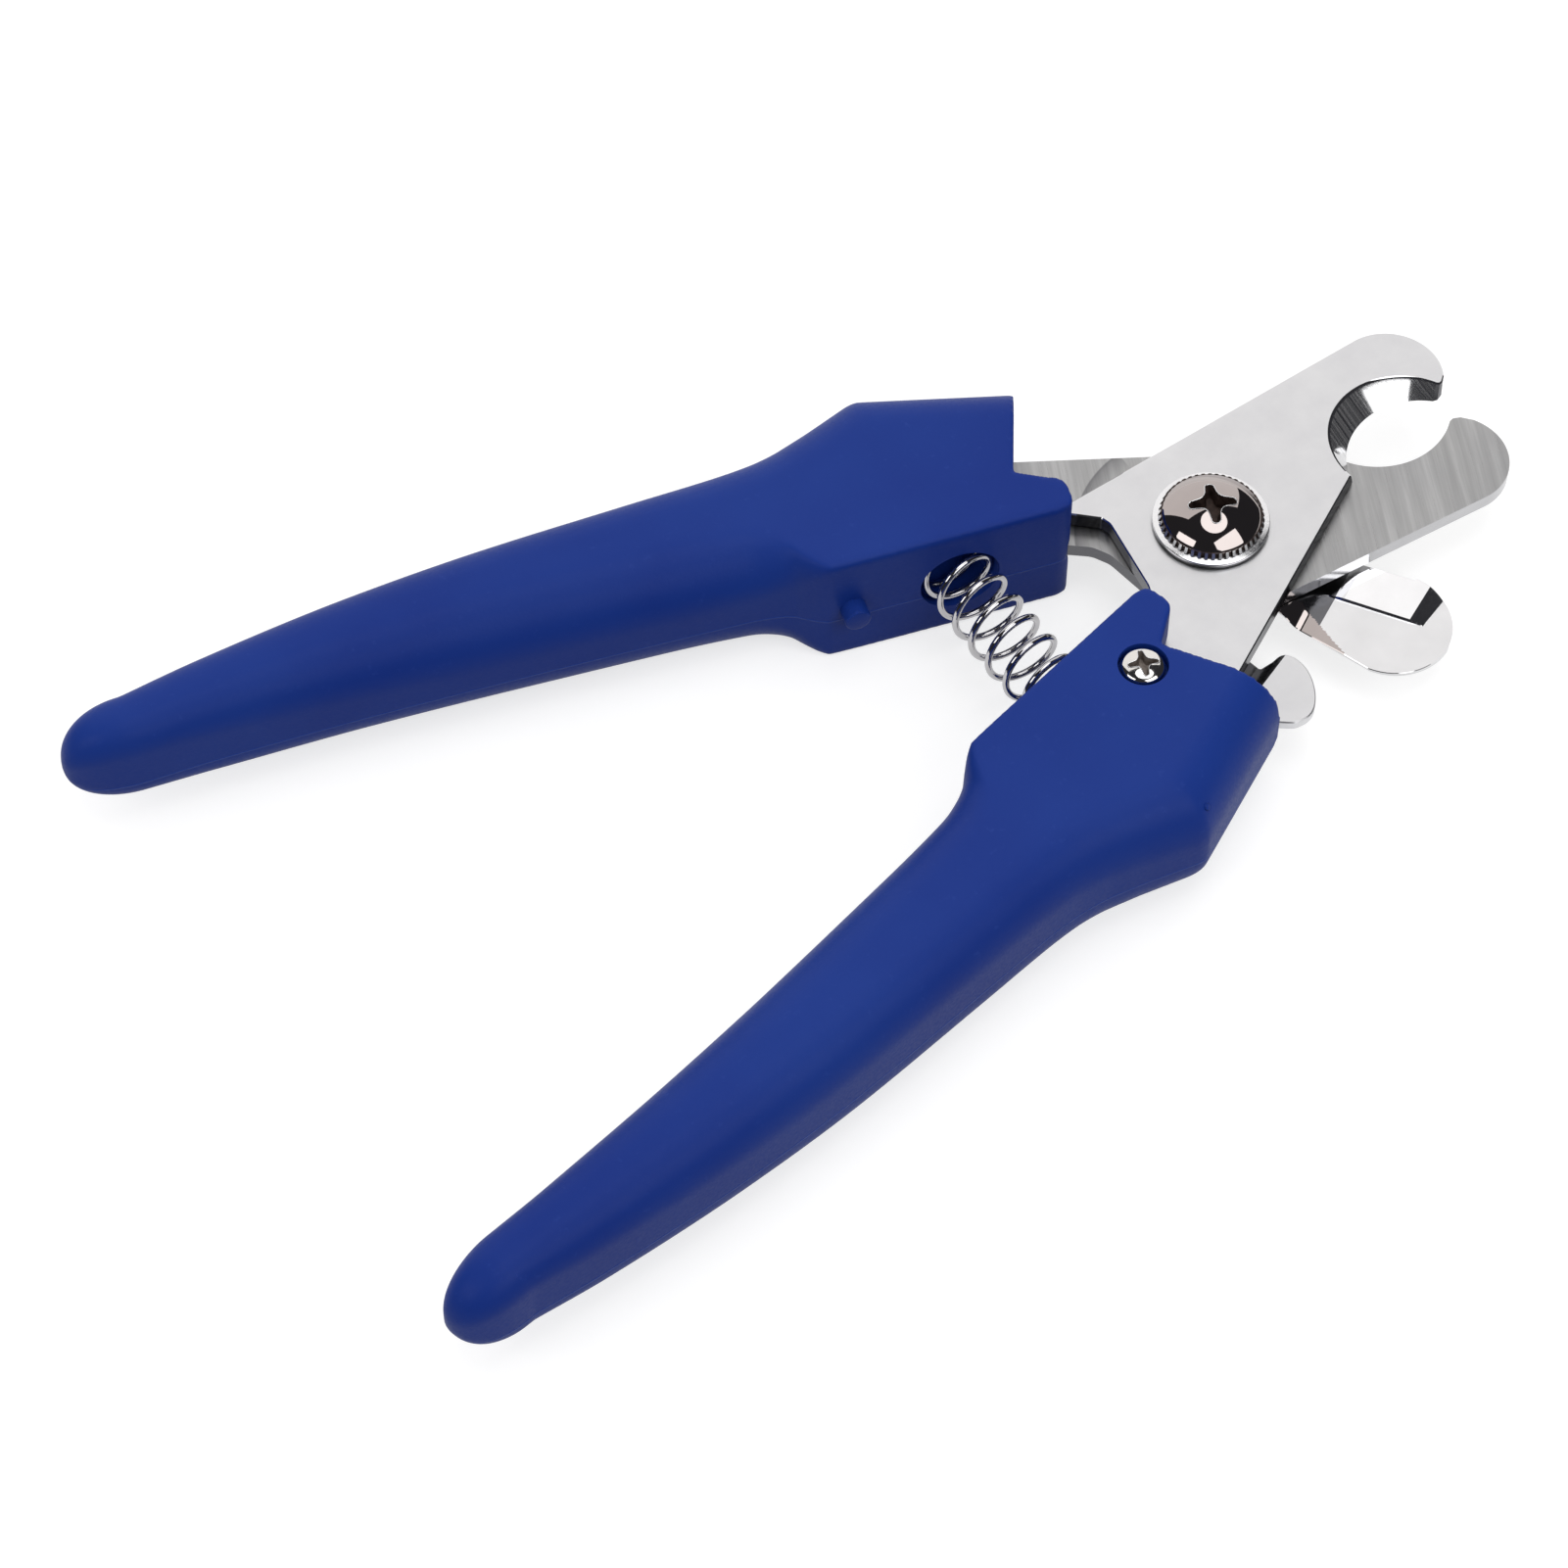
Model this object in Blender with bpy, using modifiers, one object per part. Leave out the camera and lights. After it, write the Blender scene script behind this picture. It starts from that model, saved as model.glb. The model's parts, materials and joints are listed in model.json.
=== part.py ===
"""Plier-type pet nail clipper, modelled open and lying flat.

Two mirrored plastic handles each hold one notched blade. The blades cross at a screw pivot
and are sprung open. A guard plate swings behind the notch, and a lever in the right handle
locks the clipper shut.

Frame: +X runs from the handles to the blade tips, +Z up, the table at Z = 0.
All shapes are drawn in millimetres from the pivot axis (x, y) and the shear plane (z),
which is where the two blades meet.
"""

import math

import bmesh
import bpy
from mathutils import Matrix, Vector

MM = 0.001
GAP = 0.3                      # clearance between pieces that touch

# Where the pivot stands in the part's frame
PIVOT_X = 43.85                # from the middle of the length
SHEAR_Z = 8.1                  # height of the shear plane over the table

# Handles
HANDLE_TILT = math.radians(14.7)   # of a handle's inner face to the clipper's centre line
HEAD_INNER = 2.6               # inner face of the head, from the pivot, across the handle
HEAD_HALF_HEIGHT = 8.1
GRIP_START = 122.0             # where the rounded end begins, along the handle
GRIP_END = 129.8

# Blades
BLADE_THICK = 1.9
BLADE_GAP = 0.1                # from the shear plane to each blade
NOTCH_TOP = (25.8, -1.9, 8.7)      # centre x, y and radius of the notch, outer face
NOTCH_SHEAR = (26.5, -5.05, 9.0)   # the same at the cutting edge
TIP_ARC = (29.5, 6.3, 6.35)
PIVOT_HOLE_R = 2.9

# Pivot screw and its washers
SHANK_R = 2.5
DOME_R = 5.7
DOME_TOP = 5.8
FLANGE_R = 6.75
FLANGE_Z = (2.2, 2.8)
NUT_R = 4.6
NUT_Z = (-6.2, -3.9)
SPRING_WASHER_R = 5.2
SPRING_WASHER_Z = (-3.7, -3.45)

# Nail guard
GUARD_ANGLE = math.radians(-60.3)
GUARD_TOP_ROOT = -2.2
GUARD_TOP_PADDLE = -3.1
GUARD_THICK = 1.0
GUARD_BOSS_R = 6.6
PADDLE_REACH = 22.5
PADDLE_R = 6.85

# Lock lever
LOCK_X = -20.6
LOCK_Y = -15.5
LOCK_EYE_R = 2.4
LOCK_Z = (-2.2, -1.0)
LOCK_HEAD_R = 2.4
LOCK_HEAD_TOP = 8.5
LOCK_SHANK_R = 1.35
LOCK_SCREW_END = -5.4
COUNTERBORE_R = 2.8
COUNTERBORE_FLOOR = 6.6

# Handle spring
SPRING_X = -27.1
SPRING_R = 3.85                # coil, to the middle of the wire
WIRE_R = 0.4
SPRING_HALF = 13.5             # from the centre line to the last turn
SPRING_TURNS = 9
SOCKET_R = 4.6
SOCKET_DEPTH_Y = 14.2

PEG_ALONG = 41.3
PEG_R = 1.5
PEG_TALL = 2.0


# ---------------------------------------------------------------- helpers

def clear_scene():
    for old in list(bpy.data.objects):
        bpy.data.objects.remove(old, do_unlink=True)


def new_collection(name):
    collection = bpy.data.collections.new(name)
    bpy.context.scene.collection.children.link(collection)
    return collection


def material(name, color, roughness, metallic):
    mat = bpy.data.materials.new(name)
    mat.use_nodes = True
    shader = mat.node_tree.nodes["Principled BSDF"]
    shader.inputs["Base Color"].default_value = (*color, 1.0)
    shader.inputs["Roughness"].default_value = roughness
    shader.inputs["Metallic"].default_value = metallic
    mat.diffuse_color = (*color, 1.0)
    return mat


def add_object(name, bm, collection, mat=None, origin=(0.0, 0.0, 0.0), smooth_angle=35.0):
    """Turn a bmesh drawn in mm into an object whose origin stands at origin."""
    bmesh.ops.recalc_face_normals(bm, faces=bm.faces)
    bmesh.ops.scale(bm, vec=(MM, MM, MM), verts=bm.verts)
    mesh = bpy.data.meshes.new(name)
    bm.to_mesh(mesh)
    bm.free()
    obj = bpy.data.objects.new(name, mesh)
    obj.location = (
        (PIVOT_X + origin[0]) * MM,
        origin[1] * MM,
        (SHEAR_Z + origin[2]) * MM,
    )
    collection.objects.link(obj)
    if mat:
        mesh.materials.append(mat)
        mesh.shade_smooth()
        mesh.set_sharp_from_angle(angle=math.radians(smooth_angle))
    return obj


def loft(rings):
    """Join closed rings of equally many points, and close both ends."""
    bm = bmesh.new()
    loops = [[bm.verts.new(point) for point in ring] for ring in rings]
    count = len(rings[0])
    for lower, upper in zip(loops, loops[1:]):
        for i in range(count):
            j = (i + 1) % count
            bm.faces.new((lower[i], lower[j], upper[j], upper[i]))
    bm.faces.new(reversed(loops[0]))
    bm.faces.new(loops[-1])
    return bm


def prism(outline, low, high):
    return loft([[(x, y, z) for x, y in outline] for z in (low, high)])


def arc(center_x, center_y, radius, start_deg, end_deg, steps):
    points = []
    for i in range(steps + 1):
        angle = math.radians(start_deg + (end_deg - start_deg) * i / steps)
        points.append((center_x + radius * math.cos(angle), center_y + radius * math.sin(angle)))
    return points


def grow(outline, distance):
    """Offset a counterclockwise outline outwards by distance."""
    grown = []
    count = len(outline)
    for i, point in enumerate(outline):
        here = Vector(point)
        before = (here - Vector(outline[i - 1])).normalized()
        after = (Vector(outline[(i + 1) % count]) - here).normalized()
        normal_before = Vector((before.y, -before.x))
        normal_after = Vector((after.y, -after.x))
        miter = (normal_before + normal_after).normalized()
        grown.append(tuple(here + miter * (distance / max(0.5, miter.dot(normal_before)))))
    return grown


def mirrored(points):
    return [(x, -y) for x, y in reversed(points)]


def cylinder(radius, low, high, segments=32, center=(0.0, 0.0)):
    bm = bmesh.new()
    bmesh.ops.create_cone(
        bm, cap_ends=True, segments=segments, radius1=radius, radius2=radius, depth=high - low,
        matrix=Matrix.Translation((center[0], center[1], (low + high) / 2)))
    return bm


def boolean(obj, tool, operation="DIFFERENCE"):
    modifier = obj.modifiers.new(operation.title() + " " + tool.name, "BOOLEAN")
    modifier.operation = operation
    modifier.solver = "EXACT"
    modifier.object = tool


def cutter(name, bm, origin=(0.0, 0.0, 0.0)):
    tool = add_object(name, bm, CUTTERS, origin=origin)
    tool.hide_render = True
    tool.display_type = "WIRE"
    return tool


# ---------------------------------------------------------------- handles

def handle_point(along, across, side):
    """A place on a handle, measured along and across its inner face, as x and y."""
    x = -along * math.cos(HANDLE_TILT) + across * math.sin(HANDLE_TILT)
    y = along * math.sin(HANDLE_TILT) + across * math.cos(HANDLE_TILT)
    return x, side * y


# along, inner edge, outer edge, bottom, top, inner and outer corner radius
HANDLE_STATIONS = (
    (12.0, HEAD_INNER, 21.8, -HEAD_HALF_HEIGHT, HEAD_HALF_HEIGHT, 0.9, 6.5),
    (33.5, HEAD_INNER, 27.5, -HEAD_HALF_HEIGHT, HEAD_HALF_HEIGHT, 0.9, 6.5),
    (40.0, HEAD_INNER, 24.6, -HEAD_HALF_HEIGHT, HEAD_HALF_HEIGHT, 0.9, 6.2),
    (44.0, HEAD_INNER, 23.0, -HEAD_HALF_HEIGHT, HEAD_HALF_HEIGHT, 1.0, 6.0),
    (45.4, 3.2, 22.6, -8.1, 8.1, 2.2, 6.0),
    (48.0, 4.8, 22.0, -8.1, 8.1, 4.6, 5.8),
    (52.0, 5.3, 21.5, -8.1, 8.1, 6.0, 5.6),
    (62.0, 5.6, 20.9, -8.0, 8.1, 6.5, 5.5),
    (80.0, 5.9, 19.8, -7.8, 8.05, 6.5, 5.5),
    (95.0, 6.0, 18.0, -7.2, 7.9, 5.8, 5.2),
    (113.0, 5.7, 14.7, -6.1, 7.3, 4.2, 4.2),
    (GRIP_START, 5.2, 12.6, -5.2, 6.8, 3.4, 3.4),
)
END_STEPS = 5
CORNER_STEPS = 5


def handle_section(station, side):
    along, inner, outer, bottom, top, inner_r, outer_r = station
    corners = (
        (inner + inner_r, top - inner_r, inner_r, 90.0),
        (inner + inner_r, bottom + inner_r, inner_r, 180.0),
        (outer - outer_r, bottom + outer_r, outer_r, 270.0),
        (outer - outer_r, top - outer_r, outer_r, 0.0),
    )
    ring = []
    for across, height, radius, start in corners:
        for w, z in arc(across, height, radius, start, start + 90.0, CORNER_STEPS):
            x, y = handle_point(along, w, side)
            ring.append((x, y, z))
    return ring


def end_stations():
    """The rounded end of the grip: the last section, shrunk along a quarter ellipse."""
    _, inner, outer, bottom, top, inner_r, outer_r = HANDLE_STATIONS[-1]
    middle = 0.6 * inner + 0.4 * outer
    level = (bottom + top) / 2
    for i in range(1, END_STEPS + 1):
        angle = math.radians(84.0 * i / END_STEPS)
        size = math.cos(angle) ** 0.9
        along = GRIP_START + (GRIP_END - GRIP_START) * math.sin(angle)
        yield (
            along,
            middle + (inner - middle) * size,
            middle + (outer - middle) * size,
            level + (bottom - level) * size,
            level + (top - level) * size,
            inner_r * size,
            outer_r * size,
        )


# Outline of the head's stepped front, from the inner face outwards
NOSE = (
    (19.5, HEAD_INNER - 2.0),
    (17.0, HEAD_INNER - 0.1),
    (15.9, 2.8),
    (15.4, 3.8),
    (15.3, 5.2),
    (15.7, 6.4),
    (16.7, 7.2),
    (20.3, 9.3),
    (14.4, 25.5),
)


def make_handle(name, side, mat):
    rings = [handle_section(s, side) for s in (*HANDLE_STATIONS, *end_stations())]
    handle = add_object(name, loft(rings), PARTS, mat)

    # The stepped front: nose beside the blades, and a slanted front face
    front = [handle_point(along, across, side) for along, across in NOSE]
    front += [handle_point(5.0, 25.5, side), handle_point(5.0, HEAD_INNER - 2.0, side)]
    if side < 0:
        front.reverse()
    boolean(handle, cutter(name + "_front", prism(front, -12.0, 12.0)))

    socket = cylinder(SOCKET_R, 0.0, SOCKET_DEPTH_Y, 28)
    turn = Matrix.Translation((SPRING_X, 0.0, 0.0)) @ Matrix.Rotation(-side * math.pi / 2, 4, "X")
    bmesh.ops.transform(socket, matrix=turn, verts=socket.verts)
    boolean(handle, cutter(name + "_spring_socket", socket))
    return handle


def cut_tang_pocket(handle, side):
    pocket = grow(TANG, GAP)
    low = BLADE_GAP - GAP
    high = BLADE_GAP + BLADE_THICK + GAP
    if side > 0:
        pocket = mirrored(pocket)
        low, high = -high, -low
    boolean(handle, cutter(handle.name + "_tang_pocket", prism(pocket, low, high)))


def make_left_handle(mat):
    handle = make_handle("left_handle", 1, mat)
    cut_tang_pocket(handle, 1)

    # Bumper peg on the inner face, which meets the other handle when the clipper shuts
    peg = cylinder(PEG_R, -1.0, PEG_TALL, 20)
    x, y = handle_point(PEG_ALONG, HEAD_INNER, 1)
    turn = Matrix.Rotation(-HANDLE_TILT, 4, "Z") @ Matrix.Rotation(math.pi / 2, 4, "X")
    bmesh.ops.transform(peg, matrix=Matrix.Translation((x, y, 0.0)) @ turn, verts=peg.verts)
    boolean(handle, cutter("left_handle_peg", peg), "UNION")
    return handle


def make_right_handle(mat):
    handle = make_handle("right_handle", -1, mat)
    cut_tang_pocket(handle, -1)

    # Slot in which the lock lever swings
    slot = [
        *arc(LOCK_X, LOCK_Y, LOCK_EYE_R + 0.2, 90.0, 250.0, 8),
        (-9.2, -25.3),
        (-6.0, -24.0),
        (-6.0, -12.7),
    ]
    low = LOCK_Z[0] - GAP
    high = BLADE_GAP - GAP + 0.1
    boolean(handle, cutter("right_handle_lock_slot", prism(slot, low, high)))

    at_lock = (LOCK_X, LOCK_Y)
    bore = cylinder(LOCK_SHANK_R + GAP, LOCK_SCREW_END - GAP, 8.0, 20, at_lock)
    boolean(handle, cutter("right_handle_lock_bore", bore))
    counterbore = cylinder(COUNTERBORE_R, COUNTERBORE_FLOOR, 9.0, 28, at_lock)
    boolean(handle, cutter("right_handle_counterbore", counterbore))
    return handle


# ---------------------------------------------------------------- blades

# The part of the upper blade inside its handle, from the blade's inner edge round the tang
TANG_END = [
    (-14.6, -7.6),
    (-16.6, -9.4),
    (-17.7, -12.5),
    (-18.0, -15.5),
    (-19.2, -18.0),
    (-22.0, -18.9),
    (-34.0, -21.2),
    (-35.0, -26.0),
    (-19.0, -23.2),
    (-13.8, -21.1),
]
TANG = [(-10.6, -6.2), (-12.4, -6.0), *TANG_END, (-6.0, -16.5)]


def blade_outline(notch, first_deg, last_deg, hook):
    """Counterclockwise outline of the upper blade, from the root of its notch."""
    outline = arc(*notch, first_deg, last_deg, 16)
    outline += hook
    outline += arc(*TIP_ARC, -32.0, 90.0, 9)
    outline += [
        (-12.6, 10.85),
        (-12.9, 9.9),
        (-9.9, 7.15),
        (-9.55, 6.0),
        (-11.0, -3.6),
        (-12.1, -5.6),
    ]
    return outline + TANG_END


def make_blade(name, mat, lower):
    shear = blade_outline(NOTCH_SHEAR, 166.0, 48.0, [(33.1, 1.5), (33.9, 1.85)])
    outer = blade_outline(NOTCH_TOP, 188.0, 29.5, [(33.7, 2.15), (34.1, 2.25)])
    rings = [
        [(x, y, BLADE_GAP) for x, y in shear],
        [(x, y, BLADE_GAP + BLADE_THICK) for x, y in outer],
    ]
    bm = loft(rings)
    if lower:
        bmesh.ops.transform(bm, matrix=Matrix.Rotation(math.pi, 4, "X"), verts=bm.verts)
    blade = add_object(name, bm, PARTS, mat)
    boolean(blade, cutter(name + "_pivot_hole", cylinder(PIVOT_HOLE_R, -3.0, 3.0)))
    return blade


# ---------------------------------------------------------------- pivot

def turned(name, profile, mat, segments=40):
    """A turned piece from its profile, as (radius, z) from the top of the axis to the bottom."""
    bm = bmesh.new()
    verts = [bm.verts.new((radius, 0.0, z)) for radius, z in profile]
    for a, b in zip(verts, verts[1:]):
        bm.edges.new((a, b))
    obj = add_object(name, bm, PARTS, mat)
    screw = obj.modifiers.new("Turn", "SCREW")
    screw.steps = segments
    screw.render_steps = segments
    screw.use_merge_vertices = True
    screw.merge_threshold = 0.000005
    return obj


def ring(name, inner_r, outer_r, span, mat):
    low, high = span
    profile = [(inner_r, high), (outer_r, high), (outer_r, low), (inner_r, low), (inner_r, high)]
    return turned(name, profile, mat)


def cross_recess(name, radius, low, high, width, origin=(0.0, 0.0, 0.0)):
    """Cross-shaped cutter, narrower at the bottom."""
    def plus(r, w):
        corner = [(r, -w), (r, w), (w, w)]
        points = []
        for k in range(4):
            turn = Matrix.Rotation(k * math.pi / 2, 2)
            points += [tuple(turn @ Vector(p)) for p in corner]
        return points
    rings = [
        [(x, y, low) for x, y in plus(radius * 0.45, width * 0.6)],
        [(x, y, high) for x, y in plus(radius, width)],
    ]
    return cutter(name, loft(rings), origin)


def make_pivot(mat_dark, mat_steel):
    rim = FLANGE_Z[1] + 0.2
    shoulder = rim + 0.5
    profile = [(0.0, DOME_TOP)]
    for i in range(1, 9):
        angle = math.radians(90.0 * i / 8)
        profile.append((
            DOME_R * math.sin(angle),
            shoulder + (DOME_TOP - shoulder) * math.cos(angle),
        ))
    profile += [(DOME_R, rim), (SHANK_R, rim), (SHANK_R, NUT_Z[0] - 0.4), (0.0, NUT_Z[0] - 0.4)]
    screw = turned("pivot_screw", profile, mat_dark)
    boolean(screw, cross_recess("pivot_recess", 2.7, 3.9, 7.0, 0.62))

    ring("pivot_washer", SHANK_R + GAP, FLANGE_R, FLANGE_Z, mat_dark)
    ring("spring_washer", SHANK_R + GAP, SPRING_WASHER_R, SPRING_WASHER_Z, mat_steel)

    nut = add_object("pivot_nut", cylinder(NUT_R, *NUT_Z, 6), PARTS, mat_steel)
    boolean(nut, cutter("pivot_nut_bore", cylinder(SHANK_R + GAP, -8.0, -2.0)))


# ---------------------------------------------------------------- guard

def guard_half_widths(reach):
    """Left and right half width of the guard at a distance from the pivot along its arm."""
    boss = math.sqrt(max(0.0, GUARD_BOSS_R ** 2 - reach ** 2))
    left = max(boss, 3.0 + 0.169 * reach)
    right = max(boss, 4.0 + 0.115 * reach)
    if reach > PADDLE_REACH:
        left = right = math.sqrt(max(0.0, PADDLE_R ** 2 - (reach - PADDLE_REACH) ** 2))
    return min(left, PADDLE_R), min(right, PADDLE_R)


def guard_top(reach):
    ramp = min(1.0, max(0.0, (reach - 10.5) / 3.5))
    blend = ramp * ramp * (3.0 - 2.0 * ramp)
    return GUARD_TOP_ROOT + (GUARD_TOP_PADDLE - GUARD_TOP_ROOT) * blend


def make_guard(mat):
    boss_reaches = [-GUARD_BOSS_R * math.cos(math.radians(a)) for a in (8, 20, 35, 50, 65, 80)]
    arm_reaches = [2.0, 4.0, 6.0, 8.5, 10.5, 11.4, 12.25, 13.1, 14.0, 17.0, 20.0]
    end_reaches = [
        PADDLE_REACH + PADDLE_R * math.sin(math.radians(a)) for a in (0, 15, 30, 45, 58, 70, 80, 87)
    ]
    rings = []
    for reach in (*boss_reaches, *arm_reaches, *end_reaches):
        left, right = guard_half_widths(reach)
        top = guard_top(reach)
        low = top - GUARD_THICK
        rings.append([
            (reach, left_y, z) for left_y, z in ((-left, low), (right, low), (right, top), (-left, top))
        ])
    bm = loft(rings)
    bmesh.ops.transform(bm, matrix=Matrix.Rotation(GUARD_ANGLE, 4, "Z"), verts=bm.verts)
    guard = add_object("nail_guard", bm, PARTS, mat)
    boolean(guard, cutter("nail_guard_hole", cylinder(SHANK_R + GAP, -5.0, 0.0)))


# ---------------------------------------------------------------- lock

# Counterclockwise outline of the lever from the far side of its eye. Of the notch and the
# tooth near its front, the tooth catches the lower blade's heel when the clipper is shut.
LEVER_FRONT = [
    (-9.1, -24.2),
    (-7.6, -25.4),
    (-6.6, -26.0),
    (-4.4, -25.9),
    (-2.5, -23.8),
    (-1.4, -21.0),
    (-1.5, -18.7),
    (-2.5, -17.3),
    (-4.0, -17.6),
    (-5.6, -17.6),
    (-5.9, -16.0),
    (-6.4, -15.75),
    (-7.4, -15.6),
    (-8.6, -15.1),
    (-9.7, -14.9),
]


def make_lock(mat_steel, mat_screw):
    at_lock = (LOCK_X, LOCK_Y, 0.0)
    outline = arc(LOCK_X, LOCK_Y, LOCK_EYE_R, 85.0, 250.0, 10) + LEVER_FRONT
    outline = [(x - LOCK_X, y - LOCK_Y) for x, y in outline]
    lever = add_object("lock_lever", prism(outline, *LOCK_Z), PARTS, mat_steel, at_lock)
    hole = cylinder(LOCK_SHANK_R + 0.2, -4.0, 4.0, 20)
    boolean(lever, cutter("lock_lever_hole", hole, at_lock))

    seat = COUNTERBORE_FLOOR + GAP
    profile = [(0.0, LOCK_HEAD_TOP)]
    for radius, drop in ((0.9, 0.08), (1.6, 0.3), (2.0, 0.65), (LOCK_HEAD_R, 1.0)):
        profile.append((radius, LOCK_HEAD_TOP - drop))
    profile += [
        (LOCK_HEAD_R, seat),
        (LOCK_SHANK_R, seat),
        (LOCK_SHANK_R, LOCK_SCREW_END),
        (0.0, LOCK_SCREW_END),
    ]
    screw = turned("lock_screw", profile, mat_screw, 24)
    screw.location = Vector(screw.location) + Vector((LOCK_X, LOCK_Y, 0.0)) * MM
    boolean(screw, cross_recess("lock_screw_recess", 1.25, 7.5, 9.0, 0.33, at_lock))


# ---------------------------------------------------------------- spring

def make_spring(mat):
    """Helix along Y between the two sockets, with one dead turn at each end."""
    per_turn = 12
    total = SPRING_TURNS * per_turn
    dead = per_turn
    points = []
    dead_rise = 2 * WIRE_R + 0.15
    live_rise = (2 * SPRING_HALF - 2 * dead_rise) / (total - 2 * dead)
    y = -SPRING_HALF
    for i in range(total + 1):
        angle = 2 * math.pi * i / per_turn
        points.append((SPRING_R * math.cos(angle), y, SPRING_R * math.sin(angle)))
        y += dead_rise / dead if (i < dead or i >= total - dead) else live_rise
    curve = bpy.data.curves.new("handle_spring", "CURVE")
    curve.dimensions = "3D"
    curve.bevel_depth = WIRE_R * MM
    curve.bevel_resolution = 2
    curve.use_fill_caps = True
    spline = curve.splines.new("POLY")
    spline.points.add(len(points) - 1)
    for target, (x, y, z) in zip(spline.points, points):
        target.co = (x * MM, y * MM, z * MM, 1.0)
    curve.materials.append(mat)
    spring = bpy.data.objects.new("handle_spring", curve)
    spring.location = ((PIVOT_X + SPRING_X) * MM, 0.0, SHEAR_Z * MM)
    PARTS.objects.link(spring)


clear_scene()
PARTS = new_collection("nail_clipper")
CUTTERS = new_collection("cutters")

BLUE = material("blue_plastic", (0.018, 0.052, 0.27), 0.42, 0.0)
BLADE_STEEL = material("blade_steel", (0.78, 0.78, 0.80), 0.28, 1.0)
POLISHED = material("polished_steel", (0.80, 0.80, 0.82), 0.10, 1.0)
DARK_NICKEL = material("dark_nickel", (0.45, 0.42, 0.41), 0.12, 1.0)

make_left_handle(BLUE)
make_right_handle(BLUE)
make_blade("upper_blade", BLADE_STEEL, lower=False)
make_blade("lower_blade", BLADE_STEEL, lower=True)
make_pivot(DARK_NICKEL, POLISHED)
make_guard(POLISHED)
make_lock(POLISHED, POLISHED)
make_spring(POLISHED)
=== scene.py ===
"""The looks of the plier-type pet nail clipper.

Every shape is drawn in millimetres from the pivot axis (x, y) and the shear plane (z), the
plane in which the two blades meet, and PLACE brings it into the frame.
"""

import json
import math

import bmesh
import bpy
import numpy as np
from mathutils import Matrix, Quaternion, Vector
from mathutils.bvhtree import BVHTree


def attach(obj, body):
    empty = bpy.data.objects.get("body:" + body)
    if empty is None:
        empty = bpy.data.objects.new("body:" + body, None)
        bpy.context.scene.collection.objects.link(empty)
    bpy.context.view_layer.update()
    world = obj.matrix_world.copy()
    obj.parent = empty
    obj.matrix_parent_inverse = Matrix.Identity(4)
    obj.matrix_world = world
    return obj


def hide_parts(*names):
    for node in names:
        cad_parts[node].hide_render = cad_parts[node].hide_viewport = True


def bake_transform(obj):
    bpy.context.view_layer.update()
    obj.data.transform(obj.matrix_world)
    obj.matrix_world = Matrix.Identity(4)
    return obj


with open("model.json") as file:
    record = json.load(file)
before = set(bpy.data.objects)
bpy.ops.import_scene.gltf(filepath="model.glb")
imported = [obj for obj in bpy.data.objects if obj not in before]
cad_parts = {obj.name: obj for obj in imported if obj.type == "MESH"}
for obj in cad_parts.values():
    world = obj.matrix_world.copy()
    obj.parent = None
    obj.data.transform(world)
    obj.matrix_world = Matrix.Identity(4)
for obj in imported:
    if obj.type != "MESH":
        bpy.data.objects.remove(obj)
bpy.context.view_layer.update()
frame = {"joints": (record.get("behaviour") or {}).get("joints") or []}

MM = 0.001
PIVOT = Vector(frame["joints"][0]["pos_m"])
PLACE = Matrix.Translation(PIVOT) @ Matrix.Scale(MM, 4)
LOCK_AXIS = (Vector(frame["joints"][2]["pos_m"]) - PIVOT) / MM
TILT = math.radians(14.7)      # of a handle's inner face to the clipper's centre line


# ---------------------------------------------------------------- small helpers

def mesh_of(name, bm):
    """The mesh of a finished bmesh, which is then freed."""
    bmesh.ops.recalc_face_normals(bm, faces=bm.faces)
    mesh = bpy.data.meshes.new(name)
    bm.to_mesh(mesh)
    bm.free()
    return mesh


def put(name, bm, mats, body, replaces=(), smooth_angle=30.0):
    """Turn a bmesh drawn in mm from the pivot into a piece of the object."""
    mesh = mesh_of(name, bm)
    mesh.transform(PLACE)
    return finish_piece(name, mesh, mats, body, replaces, smooth_angle)


def finish_piece(name, mesh, mats, body, replaces=(), smooth_angle=30.0):
    """Make a placed mesh a piece of the object; empty mats keeps the mesh's own."""
    obj = bpy.data.objects.new(name, mesh)
    bpy.context.scene.collection.objects.link(obj)
    for mat in mats:
        mesh.materials.append(mat)
    mesh.shade_smooth()
    mesh.set_sharp_from_angle(angle=math.radians(smooth_angle))
    if body:
        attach(obj, body)
    if replaces:
        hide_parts(*replaces)
    return obj


def loft(rings, cap=True):
    """Join closed rings of equally many points."""
    bm = bmesh.new()
    loops = [[bm.verts.new(point) for point in ring] for ring in rings]
    count = len(rings[0])
    for lower, upper in zip(loops, loops[1:]):
        for i in range(count):
            j = (i + 1) % count
            bm.faces.new((lower[i], lower[j], upper[j], upper[i]))
    if cap:
        bm.faces.new(reversed(loops[0]))
        bm.faces.new(loops[-1])
    return bm


def arc(center_x, center_y, radius, start_deg, end_deg, steps):
    """Points along an arc, both ends included."""
    points = []
    for i in range(steps + 1):
        angle = math.radians(start_deg + (end_deg - start_deg) * i / steps)
        points.append((center_x + radius * math.cos(angle), center_y + radius * math.sin(angle)))
    return points


def grow(outline, distance):
    """Offset a counterclockwise outline outwards by distance."""
    grown = []
    count = len(outline)
    for i, point in enumerate(outline):
        here = Vector(point)
        before = (here - Vector(outline[i - 1])).normalized()
        after = (Vector(outline[(i + 1) % count]) - here).normalized()
        normal_before = Vector((before.y, -before.x))
        normal_after = Vector((after.y, -after.x))
        miter = (normal_before + normal_after).normalized()
        grown.append(tuple(here + miter * (distance / max(0.5, miter.dot(normal_before)))))
    return grown


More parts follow.
